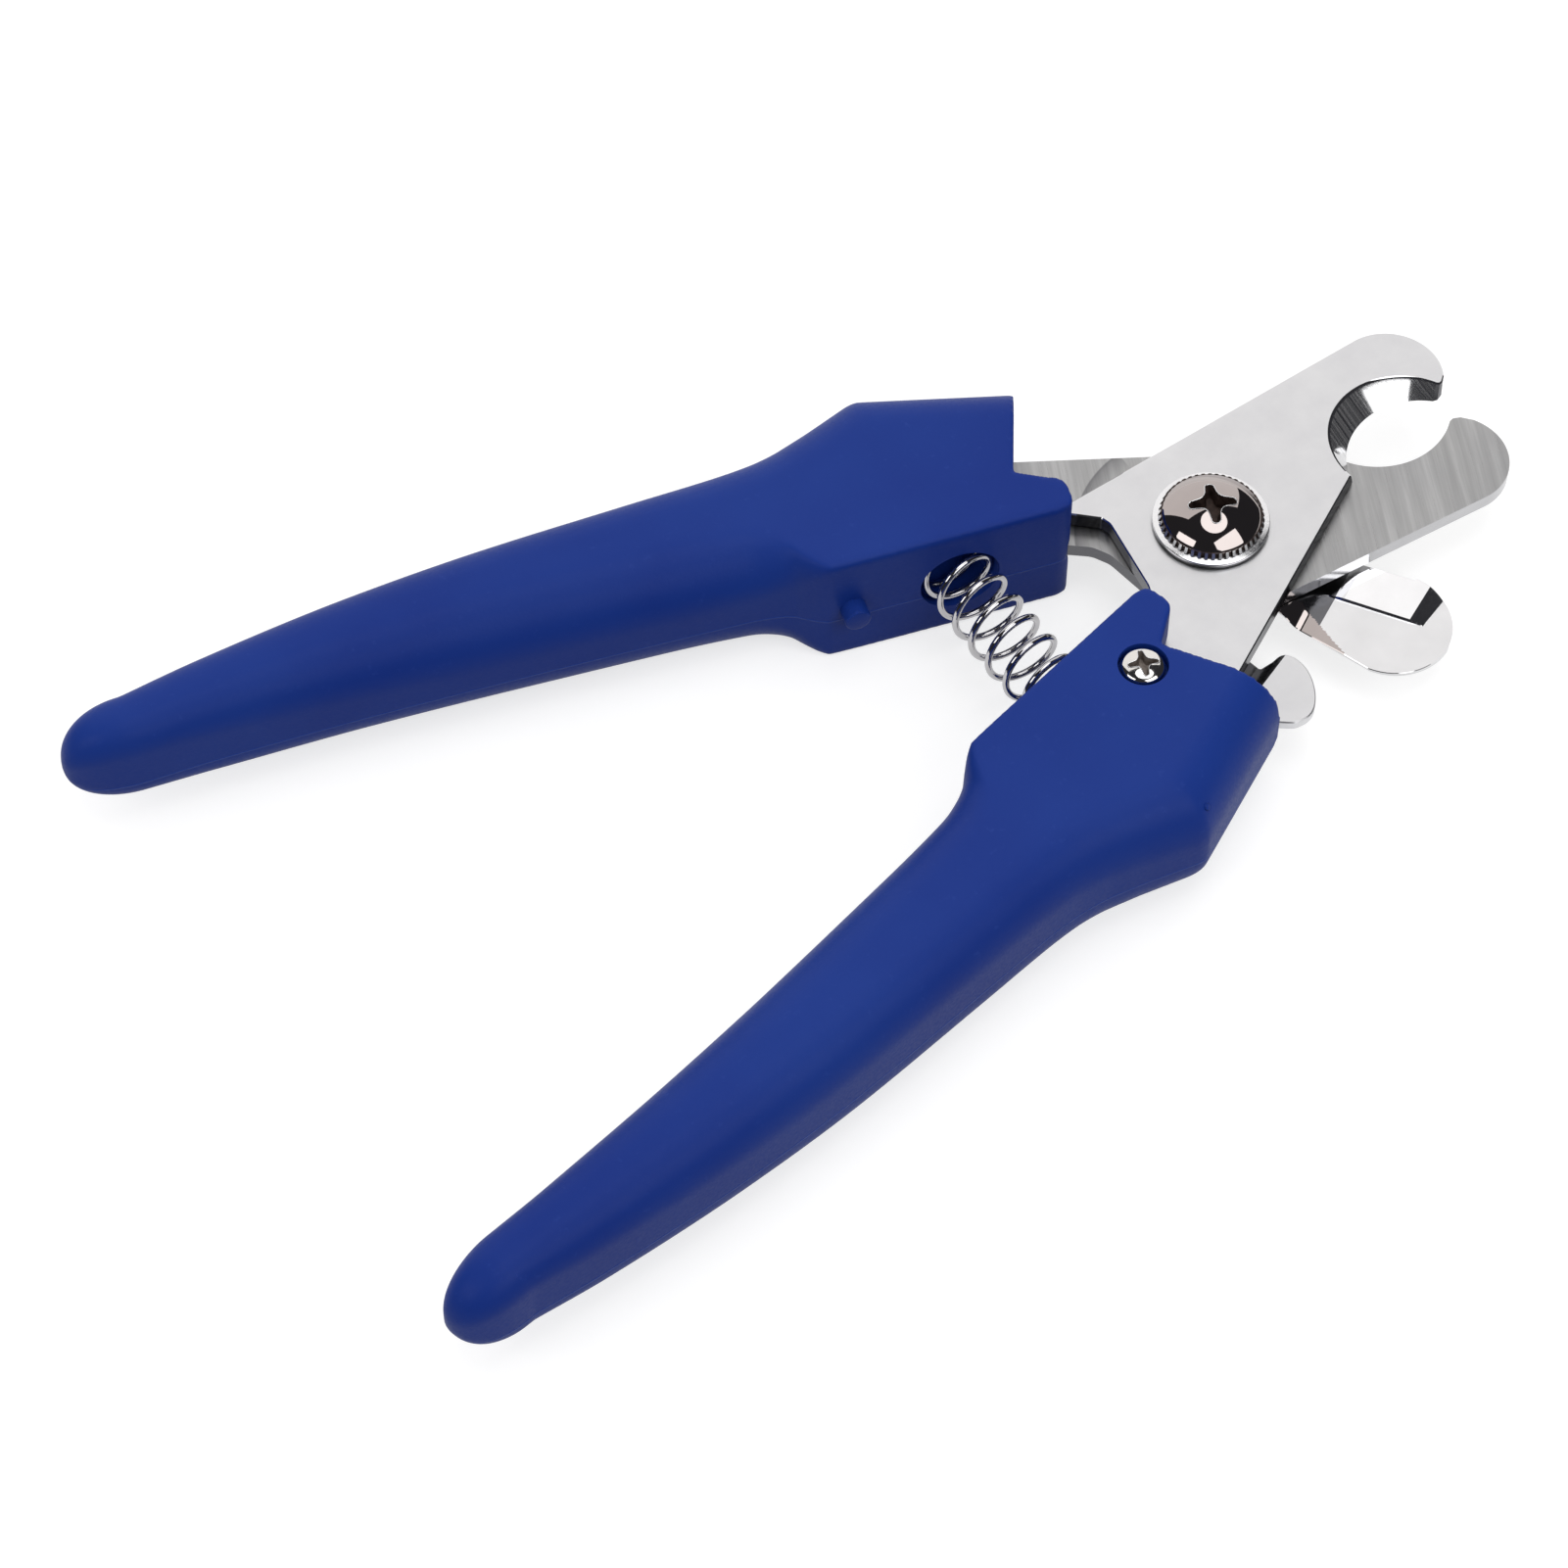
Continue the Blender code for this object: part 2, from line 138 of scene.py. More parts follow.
def round_corners(outline, radii, steps=6):
    """Replace the corners of an outline by arcs; radii holds one radius per corner, 0 keeps it."""
    result = []
    count = len(outline)
    for i, point in enumerate(outline):
        here = Vector(point)
        before = Vector(outline[i - 1]) - here
        after = Vector(outline[(i + 1) % count]) - here
        if radii[i] <= 0:
            result.append(tuple(here))
            continue
        half = before.angle(after) / 2
        reach = min(radii[i] / math.tan(half), 0.49 * before.length, 0.49 * after.length)
        start = here + before.normalized() * reach
        end = here + after.normalized() * reach
        for k in range(steps + 1):
            t = k / steps
            a = start.lerp(here, t)
            b = here.lerp(end, t)
            result.append(tuple(a.lerp(b, t)))
    return result


def monotone_curve(knots, values, at):
    """Smooth curve through the knots, without overshoot."""
    knots = np.array(knots, float)
    values = np.array(values, float)
    step = np.diff(knots)
    secant = np.diff(values) / step
    slope = np.zeros(len(knots))
    slope[0] = secant[0]
    slope[-1] = secant[-1]
    for i in range(1, len(knots) - 1):
        if secant[i - 1] * secant[i] > 0:
            slope[i] = 2 * secant[i - 1] * secant[i] / (secant[i - 1] + secant[i])
    i = int(np.clip(np.searchsorted(knots, at) - 1, 0, len(step) - 1))
    t = (at - knots[i]) / step[i]
    a = 2 * t ** 3 - 3 * t ** 2 + 1
    b = t ** 3 - 2 * t ** 2 + t
    c = -2 * t ** 3 + 3 * t ** 2
    d = t ** 3 - t ** 2
    return a * values[i] + b * step[i] * slope[i] + c * values[i + 1] + d * step[i] * slope[i + 1]


def cylinder(radius, low, high, segments=64, center=(0.0, 0.0)):
    """An upright cylinder between two heights."""
    bm = bmesh.new()
    bmesh.ops.create_cone(
        bm, cap_ends=True, segments=segments, radius1=radius, radius2=radius, depth=high - low,
        matrix=Matrix.Translation((center[0], center[1], (low + high) / 2)))
    return bm


def solid(name, bm):
    """A working object for Booleans, in mm from the pivot."""
    obj = bpy.data.objects.new(name, mesh_of(name, bm))
    bpy.context.scene.collection.objects.link(obj)
    return obj


def soften_edges(bm, offset, segments):
    """Round every edge of a simple solid."""
    bmesh.ops.bevel(
        bm, geom=bm.edges[:], offset=offset, segments=segments, affect="EDGES", profile=0.5)


def cut(obj, bm, operation="DIFFERENCE"):
    """Add a Boolean with bm to a working object, and return its tool object."""
    tool = solid(obj.name + "_tool", bm)
    modifier = obj.modifiers.new(tool.name, "BOOLEAN")
    modifier.operation = operation
    modifier.solver = "EXACT"
    modifier.object = tool
    return tool


def baked(obj, tools):
    """The evaluated mesh of a working object; the object and its tools are then removed."""
    bpy.context.view_layer.update()
    graph = bpy.context.evaluated_depsgraph_get()
    mesh = bpy.data.meshes.new_from_object(obj.evaluated_get(graph))
    for old in (obj, *tools):
        bpy.data.objects.remove(old, do_unlink=True)
    return mesh


# ---------------------------------------------------------------- materials

class Nodes:
    """Shorthand for building one material's node tree."""

    def __init__(self, name):
        self.mat = bpy.data.materials.new(name)
        self.mat.use_nodes = True
        self.tree = self.mat.node_tree
        self.shader = self.tree.nodes["Principled BSDF"]
        self.coords = self.tree.nodes.new("ShaderNodeTexCoord")

    def new(self, kind, **values):
        node = self.tree.nodes.new(kind)
        for key, value in values.items():
            if key in node.inputs:
                node.inputs[key].default_value = value
            else:
                setattr(node, key, value)
        return node

    def link(self, source, target):
        self.tree.links.new(source, target)

    def mapped(self, scale=(1.0, 1.0, 1.0), turn=(0.0, 0.0, 0.0)):
        """Object coordinates, turned and then scaled."""
        rotate = self.new("ShaderNodeMapping")
        rotate.inputs["Rotation"].default_value = turn
        self.link(self.coords.outputs["Object"], rotate.inputs["Vector"])
        stretch = self.new("ShaderNodeMapping")
        stretch.inputs["Scale"].default_value = scale
        self.link(rotate.outputs["Vector"], stretch.inputs["Vector"])
        return stretch.outputs["Vector"]

    def from_pivot(self):
        """Metres from the pivot, as a vector and as its three axes."""
        offset = self.new("ShaderNodeVectorMath", operation="SUBTRACT")
        self.link(self.coords.outputs["Object"], offset.inputs[0])
        offset.inputs[1].default_value = PIVOT
        axes = self.new("ShaderNodeSeparateXYZ")
        self.link(offset.outputs["Vector"], axes.inputs[0])
        return offset.outputs["Vector"], axes.outputs

    def noise(self, vector, scale, detail=2.0, roughness=0.5):
        node = self.new("ShaderNodeTexNoise", Scale=scale, Detail=detail, Roughness=roughness)
        self.link(vector, node.inputs["Vector"])
        return node.outputs["Fac"]

    def ramp(self, factor, stops):
        """Colour ramp; stops are (position, colour or grey value)."""
        node = self.new("ShaderNodeValToRGB")
        elements = node.color_ramp.elements
        while len(elements) < len(stops):
            elements.new(0.5)
        for element, (position, color) in zip(elements, stops):
            element.position = position
            if isinstance(color, float):
                color = (color, color, color)
            element.color = (*color, 1.0)
        self.link(factor, node.inputs["Fac"])
        return node.outputs["Color"]

    def mix(self, factor, a, b, blend="MIX"):
        node = self.new("ShaderNodeMix", data_type="RGBA", blend_type=blend)
        for socket, value in ((node.inputs[0], factor), (node.inputs[6], a), (node.inputs[7], b)):
            if isinstance(value, bpy.types.NodeSocket):
                self.link(value, socket)
            elif isinstance(value, tuple):
                socket.default_value = (*value, 1.0)
            else:
                socket.default_value = value
        return node.outputs[2]

    def math(self, operation, a, b=0.0):
        node = self.new("ShaderNodeMath", operation=operation)
        for socket, value in zip(node.inputs, (a, b)):
            if isinstance(value, bpy.types.NodeSocket):
                self.link(value, socket)
            else:
                socket.default_value = value
        return node.outputs[0]

    def bump(self, height, distance, strength=1.0, normal=None):
        node = self.new("ShaderNodeBump", Strength=strength, Distance=distance)
        self.link(height, node.inputs["Height"])
        if normal:
            self.link(normal, node.inputs["Normal"])
        return node.outputs["Normal"]

    def set(self, **values):
        for key, value in values.items():
            socket = self.shader.inputs[key.replace("_", " ")]
            if isinstance(value, bpy.types.NodeSocket):
                self.link(value, socket)
            elif isinstance(value, tuple):
                socket.default_value = (*value, 1.0)
            else:
                socket.default_value = value
        return self.mat


def blue_plastic():
    """Satin moulded plastic: fine grain, faint cloudiness, lighter where it is worn."""
    n = Nodes("blue_plastic")
    where = n.mapped()
    cloud = n.noise(where, 45.0, 3.0)
    grain = n.noise(where, 2600.0, 3.0, 0.6)
    speck = n.noise(where, 900.0, 4.0, 0.65)
    base = n.ramp(cloud, [(0.3, (0.0055, 0.026, 0.200)), (0.7, (0.0080, 0.034, 0.226))])
    base = n.mix(n.ramp(speck, [(0.62, 0.0), (0.80, 0.30)]), base, (0.028, 0.065, 0.30))
    level = n.new("ShaderNodeSeparateXYZ")
    n.link(n.coords.outputs["Object"], level.inputs[0])
    from_line = n.math("ABSOLUTE", n.math("SUBTRACT", level.outputs["Z"], PARTING_Z))
    line = n.ramp(n.math("MULTIPLY", from_line, 4000.0), [(0.25, 1.0), (0.6, 0.0)])
    base = n.mix(n.math("MULTIPLY", line, 0.5), base, (0.030, 0.075, 0.36))
    rough = n.ramp(grain, [(0.3, 0.37), (0.7, 0.50)])
    normal = n.bump(grain, 0.00003, 0.5)
    normal = n.bump(line, 0.00006, 0.8, normal)
    return n.set(Base_Color=base, Roughness=rough, Normal=normal, Specular_IOR_Level=0.11)


def satin_steel():
    """Very light satin steel with a cloudy, faintly blotched finish."""
    n = Nodes("satin_steel")
    where = n.mapped()
    cloud = n.noise(where, 190.0, 4.0, 0.6)
    blotch = n.noise(where, 60.0, 2.0)
    grain = n.noise(where, 5000.0, 2.0)
    base = n.ramp(cloud, [(0.30, (0.700, 0.700, 0.715)), (0.72, (0.775, 0.775, 0.785))])
    base = n.mix(n.ramp(blotch, [(0.60, 0.0), (0.85, 0.25)]), base, (0.66, 0.66, 0.675))
    rough = n.ramp(cloud, [(0.3, 0.30), (0.7, 0.36)])
    normal = n.bump(grain, 0.000008, 0.35)
    return n.set(Base_Color=base, Metallic=1.0, Roughness=rough, Normal=normal)


def brushed_steel():
    """Grey steel ground across the blade: long fine streaks of varied grey."""
    n = Nodes("brushed_steel")
    angle = math.radians(-BRUSH_ANGLE)
    fine = n.noise(n.mapped((90.0, 5200.0, 500.0), (0.0, 0.0, angle)), 1.0, 3.0, 0.6)
    wide = n.noise(n.mapped((40.0, 900.0, 300.0), (0.0, 0.0, angle)), 1.0, 3.0, 0.6)
    cloud = n.noise(n.mapped(), 120.0, 2.0)
    base = n.ramp(wide, [(0.25, 0.32), (0.50, 0.41), (0.78, 0.62)])
    base = n.mix(0.40, base, n.ramp(fine, [(0.25, 0.34), (0.75, 0.56)]))
    base = n.mix(n.ramp(cloud, [(0.35, 0.0), (0.75, 0.35)]), base, (0.32, 0.32, 0.335))

    # A dark turning mark about the pivot, on the heel only
    offset, axes = n.from_pivot()
    reach = n.new("ShaderNodeVectorMath", operation="LENGTH")
    n.link(offset, reach.inputs[0])
    turning = n.ramp(n.math("MULTIPLY", reach.outputs["Value"], 50.0), [
        (0.62, 0.0), (0.735, 0.55), (0.755, 0.75), (0.762, 0.0)])
    heel_side = n.math("LESS_THAN", axes["X"], -0.002)
    base = n.mix(n.math("MULTIPLY", turning, heel_side), base, (0.13, 0.13, 0.14))
    rough = n.ramp(fine, [(0.3, 0.26), (0.7, 0.40)])
    normal = n.bump(fine, 0.000012, 0.45)
    return n.set(Base_Color=base, Metallic=1.0, Roughness=rough, Normal=normal)


def polished(name, color, rough=0.05, waviness=0.25):
    """Polished or plated steel: faintly uneven mirror with a few dull spots."""
    n = Nodes(name)
    where = n.mapped()
    cloud = n.noise(where, 220.0, 3.0)
    fine = n.noise(where, 3500.0, 2.0)
    dark = tuple(0.93 * c for c in color)
    base = n.ramp(cloud, [(0.3, dark), (0.7, color)])
    roughness = n.ramp(fine, [(0.3, rough * 0.8), (0.75, rough * 1.5)])
    normal = n.bump(cloud, 0.00002, waviness)
    return n.set(Base_Color=base, Metallic=1.0, Roughness=roughness, Normal=normal)


def ground_wall():
    """Wall of a notch: a mirror with grey grinding lines from edge to edge."""
    n = Nodes("ground_notch")
    _, axes = n.from_pivot()
    side = n.math("SIGN", axes["Z"])
    height = n.math("MULTIPLY", axes["Z"], side)
    places = (axes["X"], n.math("MULTIPLY", axes["Y"], side))
    across = []
    for place, low, high in zip(places, NOTCH_SHEAR, NOTCH_TOP):
        lean = (high - low) / (BLADE_HIGH - BLADE_LOW)
        center = n.math("ADD", n.math("MULTIPLY", height, lean), low * MM)
        across.append(n.math("SUBTRACT", place, center))
    line = n.new("ShaderNodeCombineXYZ")
    n.link(n.math("ARCTAN2", *across), line.inputs["X"])
    lines = n.noise(line.outputs["Vector"], 24.0, 3.0, 0.6)
    base = n.ramp(lines, [(0.35, (0.80, 0.80, 0.81)), (0.70, (0.66, 0.66, 0.67))])
    metal = n.ramp(lines, [(0.40, 1.0), (0.72, 0.80)])
    rough = n.ramp(lines, [(0.3, 0.05), (0.7, 0.16)])
    return n.set(Base_Color=base, Metallic=metal, Roughness=rough)


def recess_shade_metal(name, dark, light):
    """The dull brown bottom of a screw's recess, darkened as painted shade."""
    n = Nodes(name)
    grain = n.noise(n.mapped(), 1500.0, 3.0)
    base = n.ramp(grain, [(0.3, dark), (0.7, light)])
    rough = n.ramp(grain, [(0.3, 0.35), (0.7, 0.6)])
    return n.set(Base_Color=base, Metallic=0.6, Roughness=rough)


BRUSH_ANGLE = 65.0             # of the streaks to the blade's length, in degrees
PARTING_Z = PIVOT.z - 1.6 * MM     # of the handles' mould line

BLUE = blue_plastic()
SATIN = satin_steel()
BRUSHED = brushed_steel()
MIRROR = polished("mirror_steel", (0.80, 0.80, 0.81), 0.05, 0.12)
EDGE = polished("ground_edge", (0.84, 0.84, 0.85), 0.05, 0.12)
WALL = polished("ground_wall", (0.60, 0.60, 0.615), 0.12, 0.3)
# Dark steel colour that paints shade on blade walls, the flange's foot, the guard's joggle and the
# lever's tab.
PAINTED_SHADE = polished("painted_shade_edge", (0.16, 0.16, 0.17), 0.16, 0.4)
# Smoother steel for the guard's raised pad, with a lighter colour that paints its bright
# reflection.
PAD_POLISH_AND_REFLECTION = polished("pad_polish_and_painted_reflection", (0.97, 0.97, 0.98), 0.04, 0.10)
NICKEL = polished("dark_nickel", (0.46, 0.41, 0.395), 0.03, 0.04)
BRIGHT_NICKEL = polished("bright_nickel", (0.80, 0.78, 0.75), 0.07)
WIRE = polished("spring_wire", (0.60, 0.59, 0.60), 0.04, 0.08)
GUARD_FACE = polished("guard_steel_finish", (0.80, 0.80, 0.81), 0.09, 0.25)
WASHER = polished("washer_steel", (0.88, 0.88, 0.89), 0.16, 0.3)
# Recess colours: brownish metal darkened as painted shade inside screw recesses and serration
# grooves.
RECESS_SHADE = recess_shade_metal("recess_brown_shade", (0.020, 0.012, 0.010), (0.075, 0.048, 0.040))
RECESS_PALE_SHADE = recess_shade_metal("recess_grey_shade", (0.14, 0.115, 0.10), (0.30, 0.26, 0.235))


# ---------------------------------------------------------------- handles

HEAD_INNER = 2.6               # inner face of the head, across the handle
GRIP_START = 122.0
GRIP_END = 129.8

# along, inner edge, outer edge, bottom, top, inner and outer corner radius
HEAD_STATIONS = (
    (12.0, HEAD_INNER, 21.8, -8.1, 8.1, 0.45, 6.5),
    (33.2, HEAD_INNER, 27.4, -8.1, 8.1, 0.45, 6.5),
    (34.2, HEAD_INNER, 27.2, -8.1, 8.1, 0.45, 6.5),
    (40.0, HEAD_INNER, 24.6, -8.1, 8.1, 0.45, 6.2),
)
GRIP_STATIONS = (
    (44.0, HEAD_INNER, 23.0, -8.1, 8.1, 0.6, 6.0),
    (45.4, 3.2, 22.6, -8.1, 8.1, 1.8, 6.0),
    (48.0, 4.8, 22.0, -8.1, 8.1, 4.4, 5.8),
    (52.0, 5.35, 21.5, -8.1, 8.1, 6.0, 5.6),
    (62.0, 5.6, 20.9, -8.0, 8.1, 6.5, 5.5),
    (80.0, 5.9, 19.8, -7.8, 8.05, 6.5, 5.5),
    (95.0, 6.0, 18.1, -7.2, 7.9, 5.8, 5.2),
    (113.0, 5.7, 14.9, -6.1, 7.3, 4.2, 4.2),
    (GRIP_START, 5.2, 12.8, -5.2, 6.8, 3.4, 3.4),
)


def handle_point(along, across, side):
    """From a handle's own directions to x and y; side is 1 for the left handle, or -1."""
    x = -along * math.cos(TILT) + across * math.sin(TILT)
    y = along * math.sin(TILT) + across * math.cos(TILT)
    return x, side * y


def handle_stations():
    """Rows like those of the two tables, closer together, with a rounded end."""
    stations = list(HEAD_STATIONS)
    knots = [s[0] for s in GRIP_STATIONS]
    for along in np.linspace(knots[0], knots[-1], 70):
        row = [monotone_curve(knots, [s[k] for s in GRIP_STATIONS], along) for k in range(1, 7)]
        stations.append((along, *row))
    _, inner, outer, bottom, top, inner_r, outer_r = stations[-1]
    middle = 0.6 * inner + 0.4 * outer
    level = (bottom + top) / 2
    for i in range(1, 13):
        angle = math.radians(87.0 * i / 12)
        size = math.cos(angle) ** 0.9
        stations.append((
            GRIP_START + (GRIP_END - GRIP_START) * math.sin(angle),
            middle + (inner - middle) * size,
            middle + (outer - middle) * size,
            level + (bottom - level) * size,
            level + (top - level) * size,
            inner_r * size,
            outer_r * size,
        ))
    return stations


def handle_section(station, side):
    """The handle's rounded rectangular section at one station."""
    along, inner, outer, bottom, top, inner_r, outer_r = station
    corners = (
        (inner + inner_r, top - inner_r, inner_r, 90.0),
        (inner + inner_r, bottom + inner_r, inner_r, 180.0),
        (outer - outer_r, bottom + outer_r, outer_r, 270.0),
        (outer - outer_r, top - outer_r, outer_r, 0.0),
    )
    ring = []
    for across, height, radius, start in corners:
        for w, z in arc(across, height, radius, start, start + 90.0, 12):
            x, y = handle_point(along, w, side)
            ring.append((x, y, z))
    return ring


# Outline of the head's stepped front, and the radii that round its corners
NOSE = (
    (19.5, HEAD_INNER - 2.0),
    (17.1, HEAD_INNER - 0.1),
    (15.3, 3.2),
    (15.2, 6.6),
    (20.3, 9.3),
    (14.4, 25.5),
    (5.0, 25.5),
    (5.0, HEAD_INNER - 2.0),
)
NOSE_RADII = (0.0, 0.6, 1.8, 1.5, 0.3, 0.0, 0.0, 0.0)
SPRING_X = -27.1
SOCKET_R = 4.5
SOCKET_DEPTH_Y = 14.2
PEG_ALONG = 41.3
PEG_R = 1.5
PEG_TALL = 2.0
# Line through a small moulding mark on the right head
PIP_LINE = ((-29.5, -38.7, 16.1), (-22.11, -30.27, 0.10))
LOCK_EYE_R = 2.4
LOCK_SHANK_R = 1.35
COUNTERBORE_R = 2.8
COUNTERBORE_FLOOR = 6.6
CUT_PAST = 12.0                # mm, past any top or underside
VOXEL = 0.32                   # mm, of the mesh that rounds the handles' edges
SMOOTHING = 7

TANG_END = [
    (-14.6, -7.6), (-16.6, -9.4), (-17.7, -12.5), (-18.0, -15.5), (-19.2, -18.0),
    (-22.0, -18.9), (-34.0, -21.2), (-35.0, -26.0), (-19.0, -23.2), (-13.8, -21.1),
]
TANG = [(-10.6, -6.2), (-12.4, -6.0), *TANG_END, (-6.0, -16.5)]


def prism(outline, low, high):
    """An upright solid on an outline."""
    return loft([[(x, y, z) for x, y in outline] for z in (low, high)])


def surface_pip(mesh):
    """A low round pip that stands on the mesh, where PIP_LINE meets it."""
    tree = BVHTree.FromPolygons(
        [vert.co for vert in mesh.vertices], [face.vertices for face in mesh.polygons])
    start, end = (Vector(point) for point in PIP_LINE)
    spot, normal, _, _ = tree.ray_cast(start, (end - start).normalized())
    pip = cylinder(0.42, -0.5, 0.2, 24)
    soften_edges(pip, 0.14, 2)
    turn = Vector((0.0, 0.0, 1.0)).rotation_difference(normal).to_matrix().to_4x4()
    bmesh.ops.transform(pip, matrix=Matrix.Translation(spot) @ turn, verts=pip.verts)
    return pip


def make_handle(name, side, body):
    """One moulded handle, with what is cut into it and what stands on it."""
    rings = [handle_section(s, side) for s in handle_stations()]
    handle = solid(name, loft(rings))
    tools = []
    pieces = []

    front = round_corners(list(NOSE), NOSE_RADII, 8)
    front = [handle_point(along, across, side) for along, across in front]
    if side < 0:
        front.reverse()
    tools.append(cut(handle, prism(front, -CUT_PAST, CUT_PAST)))

    # Pocket for the blade's tang: 0.1 to 2.0 mm from the shear plane, with a little room
    pocket = grow(TANG, 0.25)
    low, high = -0.15, 2.25
    if side > 0:
        pocket = [(x, -y) for x, y in reversed(pocket)]
        low, high = -high, -low
    tools.append(cut(handle, prism(pocket, low, high)))

    if side > 0:
        peg = cylinder(PEG_R, -1.0, PEG_TALL)
        x, y = handle_point(PEG_ALONG, HEAD_INNER, 1)
        turn = Matrix.Rotation(-TILT, 4, "Z") @ Matrix.Rotation(math.pi / 2, 4, "X")
        bmesh.ops.transform(peg, matrix=Matrix.Translation((x, y, 0.0)) @ turn, verts=peg.verts)
        soften_edges(peg, 0.22, 3)
        pieces.append(("left_peg", peg))
    else:
        slot = [
            *arc(LOCK_AXIS.x, LOCK_AXIS.y, LOCK_EYE_R + 0.2, 90.0, 250.0, 12),
            (-9.2, -25.3),
            (-6.0, -24.0),
            (-6.0, -12.7),
        ]
        tools.append(cut(handle, prism(slot, -2.5, -0.1)))
        at_lock = (LOCK_AXIS.x, LOCK_AXIS.y)
        tools.append(cut(handle, cylinder(LOCK_SHANK_R + 0.3, -5.7, 7.0, 48, at_lock)))

    remesh = handle.modifiers.new("Even mesh", "REMESH")
    remesh.mode = "VOXEL"
    remesh.voxel_size = VOXEL
    soften = handle.modifiers.new("Rounded edges", "SMOOTH")
    soften.factor = 0.5
    soften.iterations = SMOOTHING

    # Holes with crisp rims
    socket = cylinder(SOCKET_R, 0.0, SOCKET_DEPTH_Y)
    turn = Matrix.Translation((SPRING_X, 0.0, 0.0)) @ Matrix.Rotation(-side * math.pi / 2, 4, "X")
    bmesh.ops.transform(socket, matrix=turn, verts=socket.verts)
    tools.append(cut(handle, socket))
    if side < 0:
        tools.append(cut(handle, cylinder(COUNTERBORE_R, COUNTERBORE_FLOOR, 9.0, 64, at_lock)))
    mesh = baked(handle, tools)
    if side < 0:
        pieces.append(("right_pip", surface_pip(mesh)))
    for piece, bm in pieces:
        put(piece, bm, [BLUE], body, smooth_angle=50.0)
    mesh.transform(PLACE)
    return finish_piece(name + "_shell", mesh, [BLUE], body, [name], 60.0)


# ---------------------------------------------------------------- blades

BLADE_LOW = 0.1
BLADE_HIGH = 2.0
NOTCH_TOP = (25.8, -1.9, 8.7)      # centre x, y and radius of the notch, outer face
NOTCH_SHEAR = (26.5, -5.05, 9.0)   # the same at the cutting edge
TIP_ARC = (29.5, 6.3, 6.35)
PIVOT_HOLE_R = 2.9
CHAMFER = 0.14                 # mm, at the blades' outer edges
NOTCH_STEPS = 56
HEEL_X = -8.0                  # the blades' walls are painted dark behind this, a painted shade
NOTCH_WALL = ground_wall()


def blade_outline(notch, first_deg, last_deg, hook):
    """Counterclockwise outline of the upper blade, from the root of its notch."""
    outline = arc(*notch, first_deg, last_deg, NOTCH_STEPS)
    outline += hook
    outline += arc(*TIP_ARC, -32.0, 90.0, 32)
    outline += [
        (-12.6, 10.85), (-12.9, 9.9), (-9.9, 7.15), (-9.55, 6.0), (-11.0, -3.6),
        (-12.1, -5.6),
    ]
    plain = len(outline) - 6
    outline += TANG_END
    radii = [0.0] * plain + [0.0, 0.5, 0.5, 1.5, 3.0, 3.0, 3.0, 2.5, 2.0, 2.0, 2.0, 1.0]
    radii += [0.0] * (len(outline) - len(radii))
    return round_corners(outline, radii, 5)


def make_blade(name, face_mat, body, lower):
    """A blade; the lower one is the upper one turned over."""
    shear = blade_outline(NOTCH_SHEAR, 166.0, 48.0, [(33.1, 1.5), (33.9, 1.85)])
    outer = blade_outline(NOTCH_TOP, 188.0, 29.5, [(33.7, 2.15), (34.1, 2.25)])
    share = 1.0 - CHAMFER / (BLADE_HIGH - BLADE_LOW)
    below = [tuple(Vector(a).lerp(Vector(b), share)) for a, b in zip(shear, outer)]
    rings = [
        [(x, y, BLADE_LOW) for x, y in shear],
        [(x, y, BLADE_HIGH - CHAMFER) for x, y in below],
        [(x, y, BLADE_HIGH) for x, y in grow(outer, -CHAMFER)],
    ]
    bm = loft(rings)
    face_slot, rim_slot, notch_slot, shade_slot, ground_slot = range(5)
    count = len(outer)
    bm.faces.ensure_lookup_table()
    # Walls: the notch is ground; the upper blade's other walls and the lower blade's walls behind
    # HEEL_X are painted dark as shade.
    for number, face in enumerate(bm.faces):
        around = number % count
        heel = sum(v.co.x for v in face.verts) / len(face.verts) < HEEL_X
        if len(face.verts) > 4:
            face.material_index = face_slot
        elif number >= count:
            face.material_index = rim_slot
        elif around < NOTCH_STEPS:
            face.material_index = notch_slot
        else:
            face.material_index = shade_slot if heel or not lower else ground_slot
    if lower:
        bmesh.ops.transform(bm, matrix=Matrix.Rotation(math.pi, 4, "X"), verts=bm.verts)
    blade = solid(name, bm)
    for mat in (face_mat, EDGE, NOTCH_WALL, PAINTED_SHADE, WALL):
        blade.data.materials.append(mat)
    mesh = baked(blade, [cut(blade, cylinder(PIVOT_HOLE_R, -3.0, 3.0))])
    mesh.transform(PLACE)
    return finish_piece(name + "_finish", mesh, [], body, [name], 20.0)


# ---------------------------------------------------------------- pivot

SHANK_R = 2.5
DOME_R = 5.55
DOME_TOP = 5.8
FLANGE_R = 6.6
FLANGE = (2.2, 2.8)
NUT_R = 4.6
NUT = (-6.2, -3.9)
SERRATIONS = 46
RIM_R = 0.055                  # mm, of the bead round a screw's recess


def turned_mesh(profile, segments):
    """A closed turned solid from (radius, z) pairs, top of the axis to bottom."""
    bm = bmesh.new()
    rows = []
    for radius, z in profile:
        if radius < 1e-6:
            rows.append([bm.verts.new((0.0, 0.0, z))])
        else:
            rows.append([
                bm.verts.new((
                    radius * math.cos(2 * math.pi * k / segments),
                    radius * math.sin(2 * math.pi * k / segments),
                    z,
                ))
                for k in range(segments)
            ])
    for upper, lower in zip(rows, rows[1:]):
        for k in range(segments):
            j = (k + 1) % segments
            quad = [upper[k % len(upper)], upper[j % len(upper)], lower[j % len(lower)],
                    lower[k % len(lower)]]
            corners = list(dict.fromkeys(quad))
            if len(corners) > 2:
                bm.faces.new(corners)
    return bm


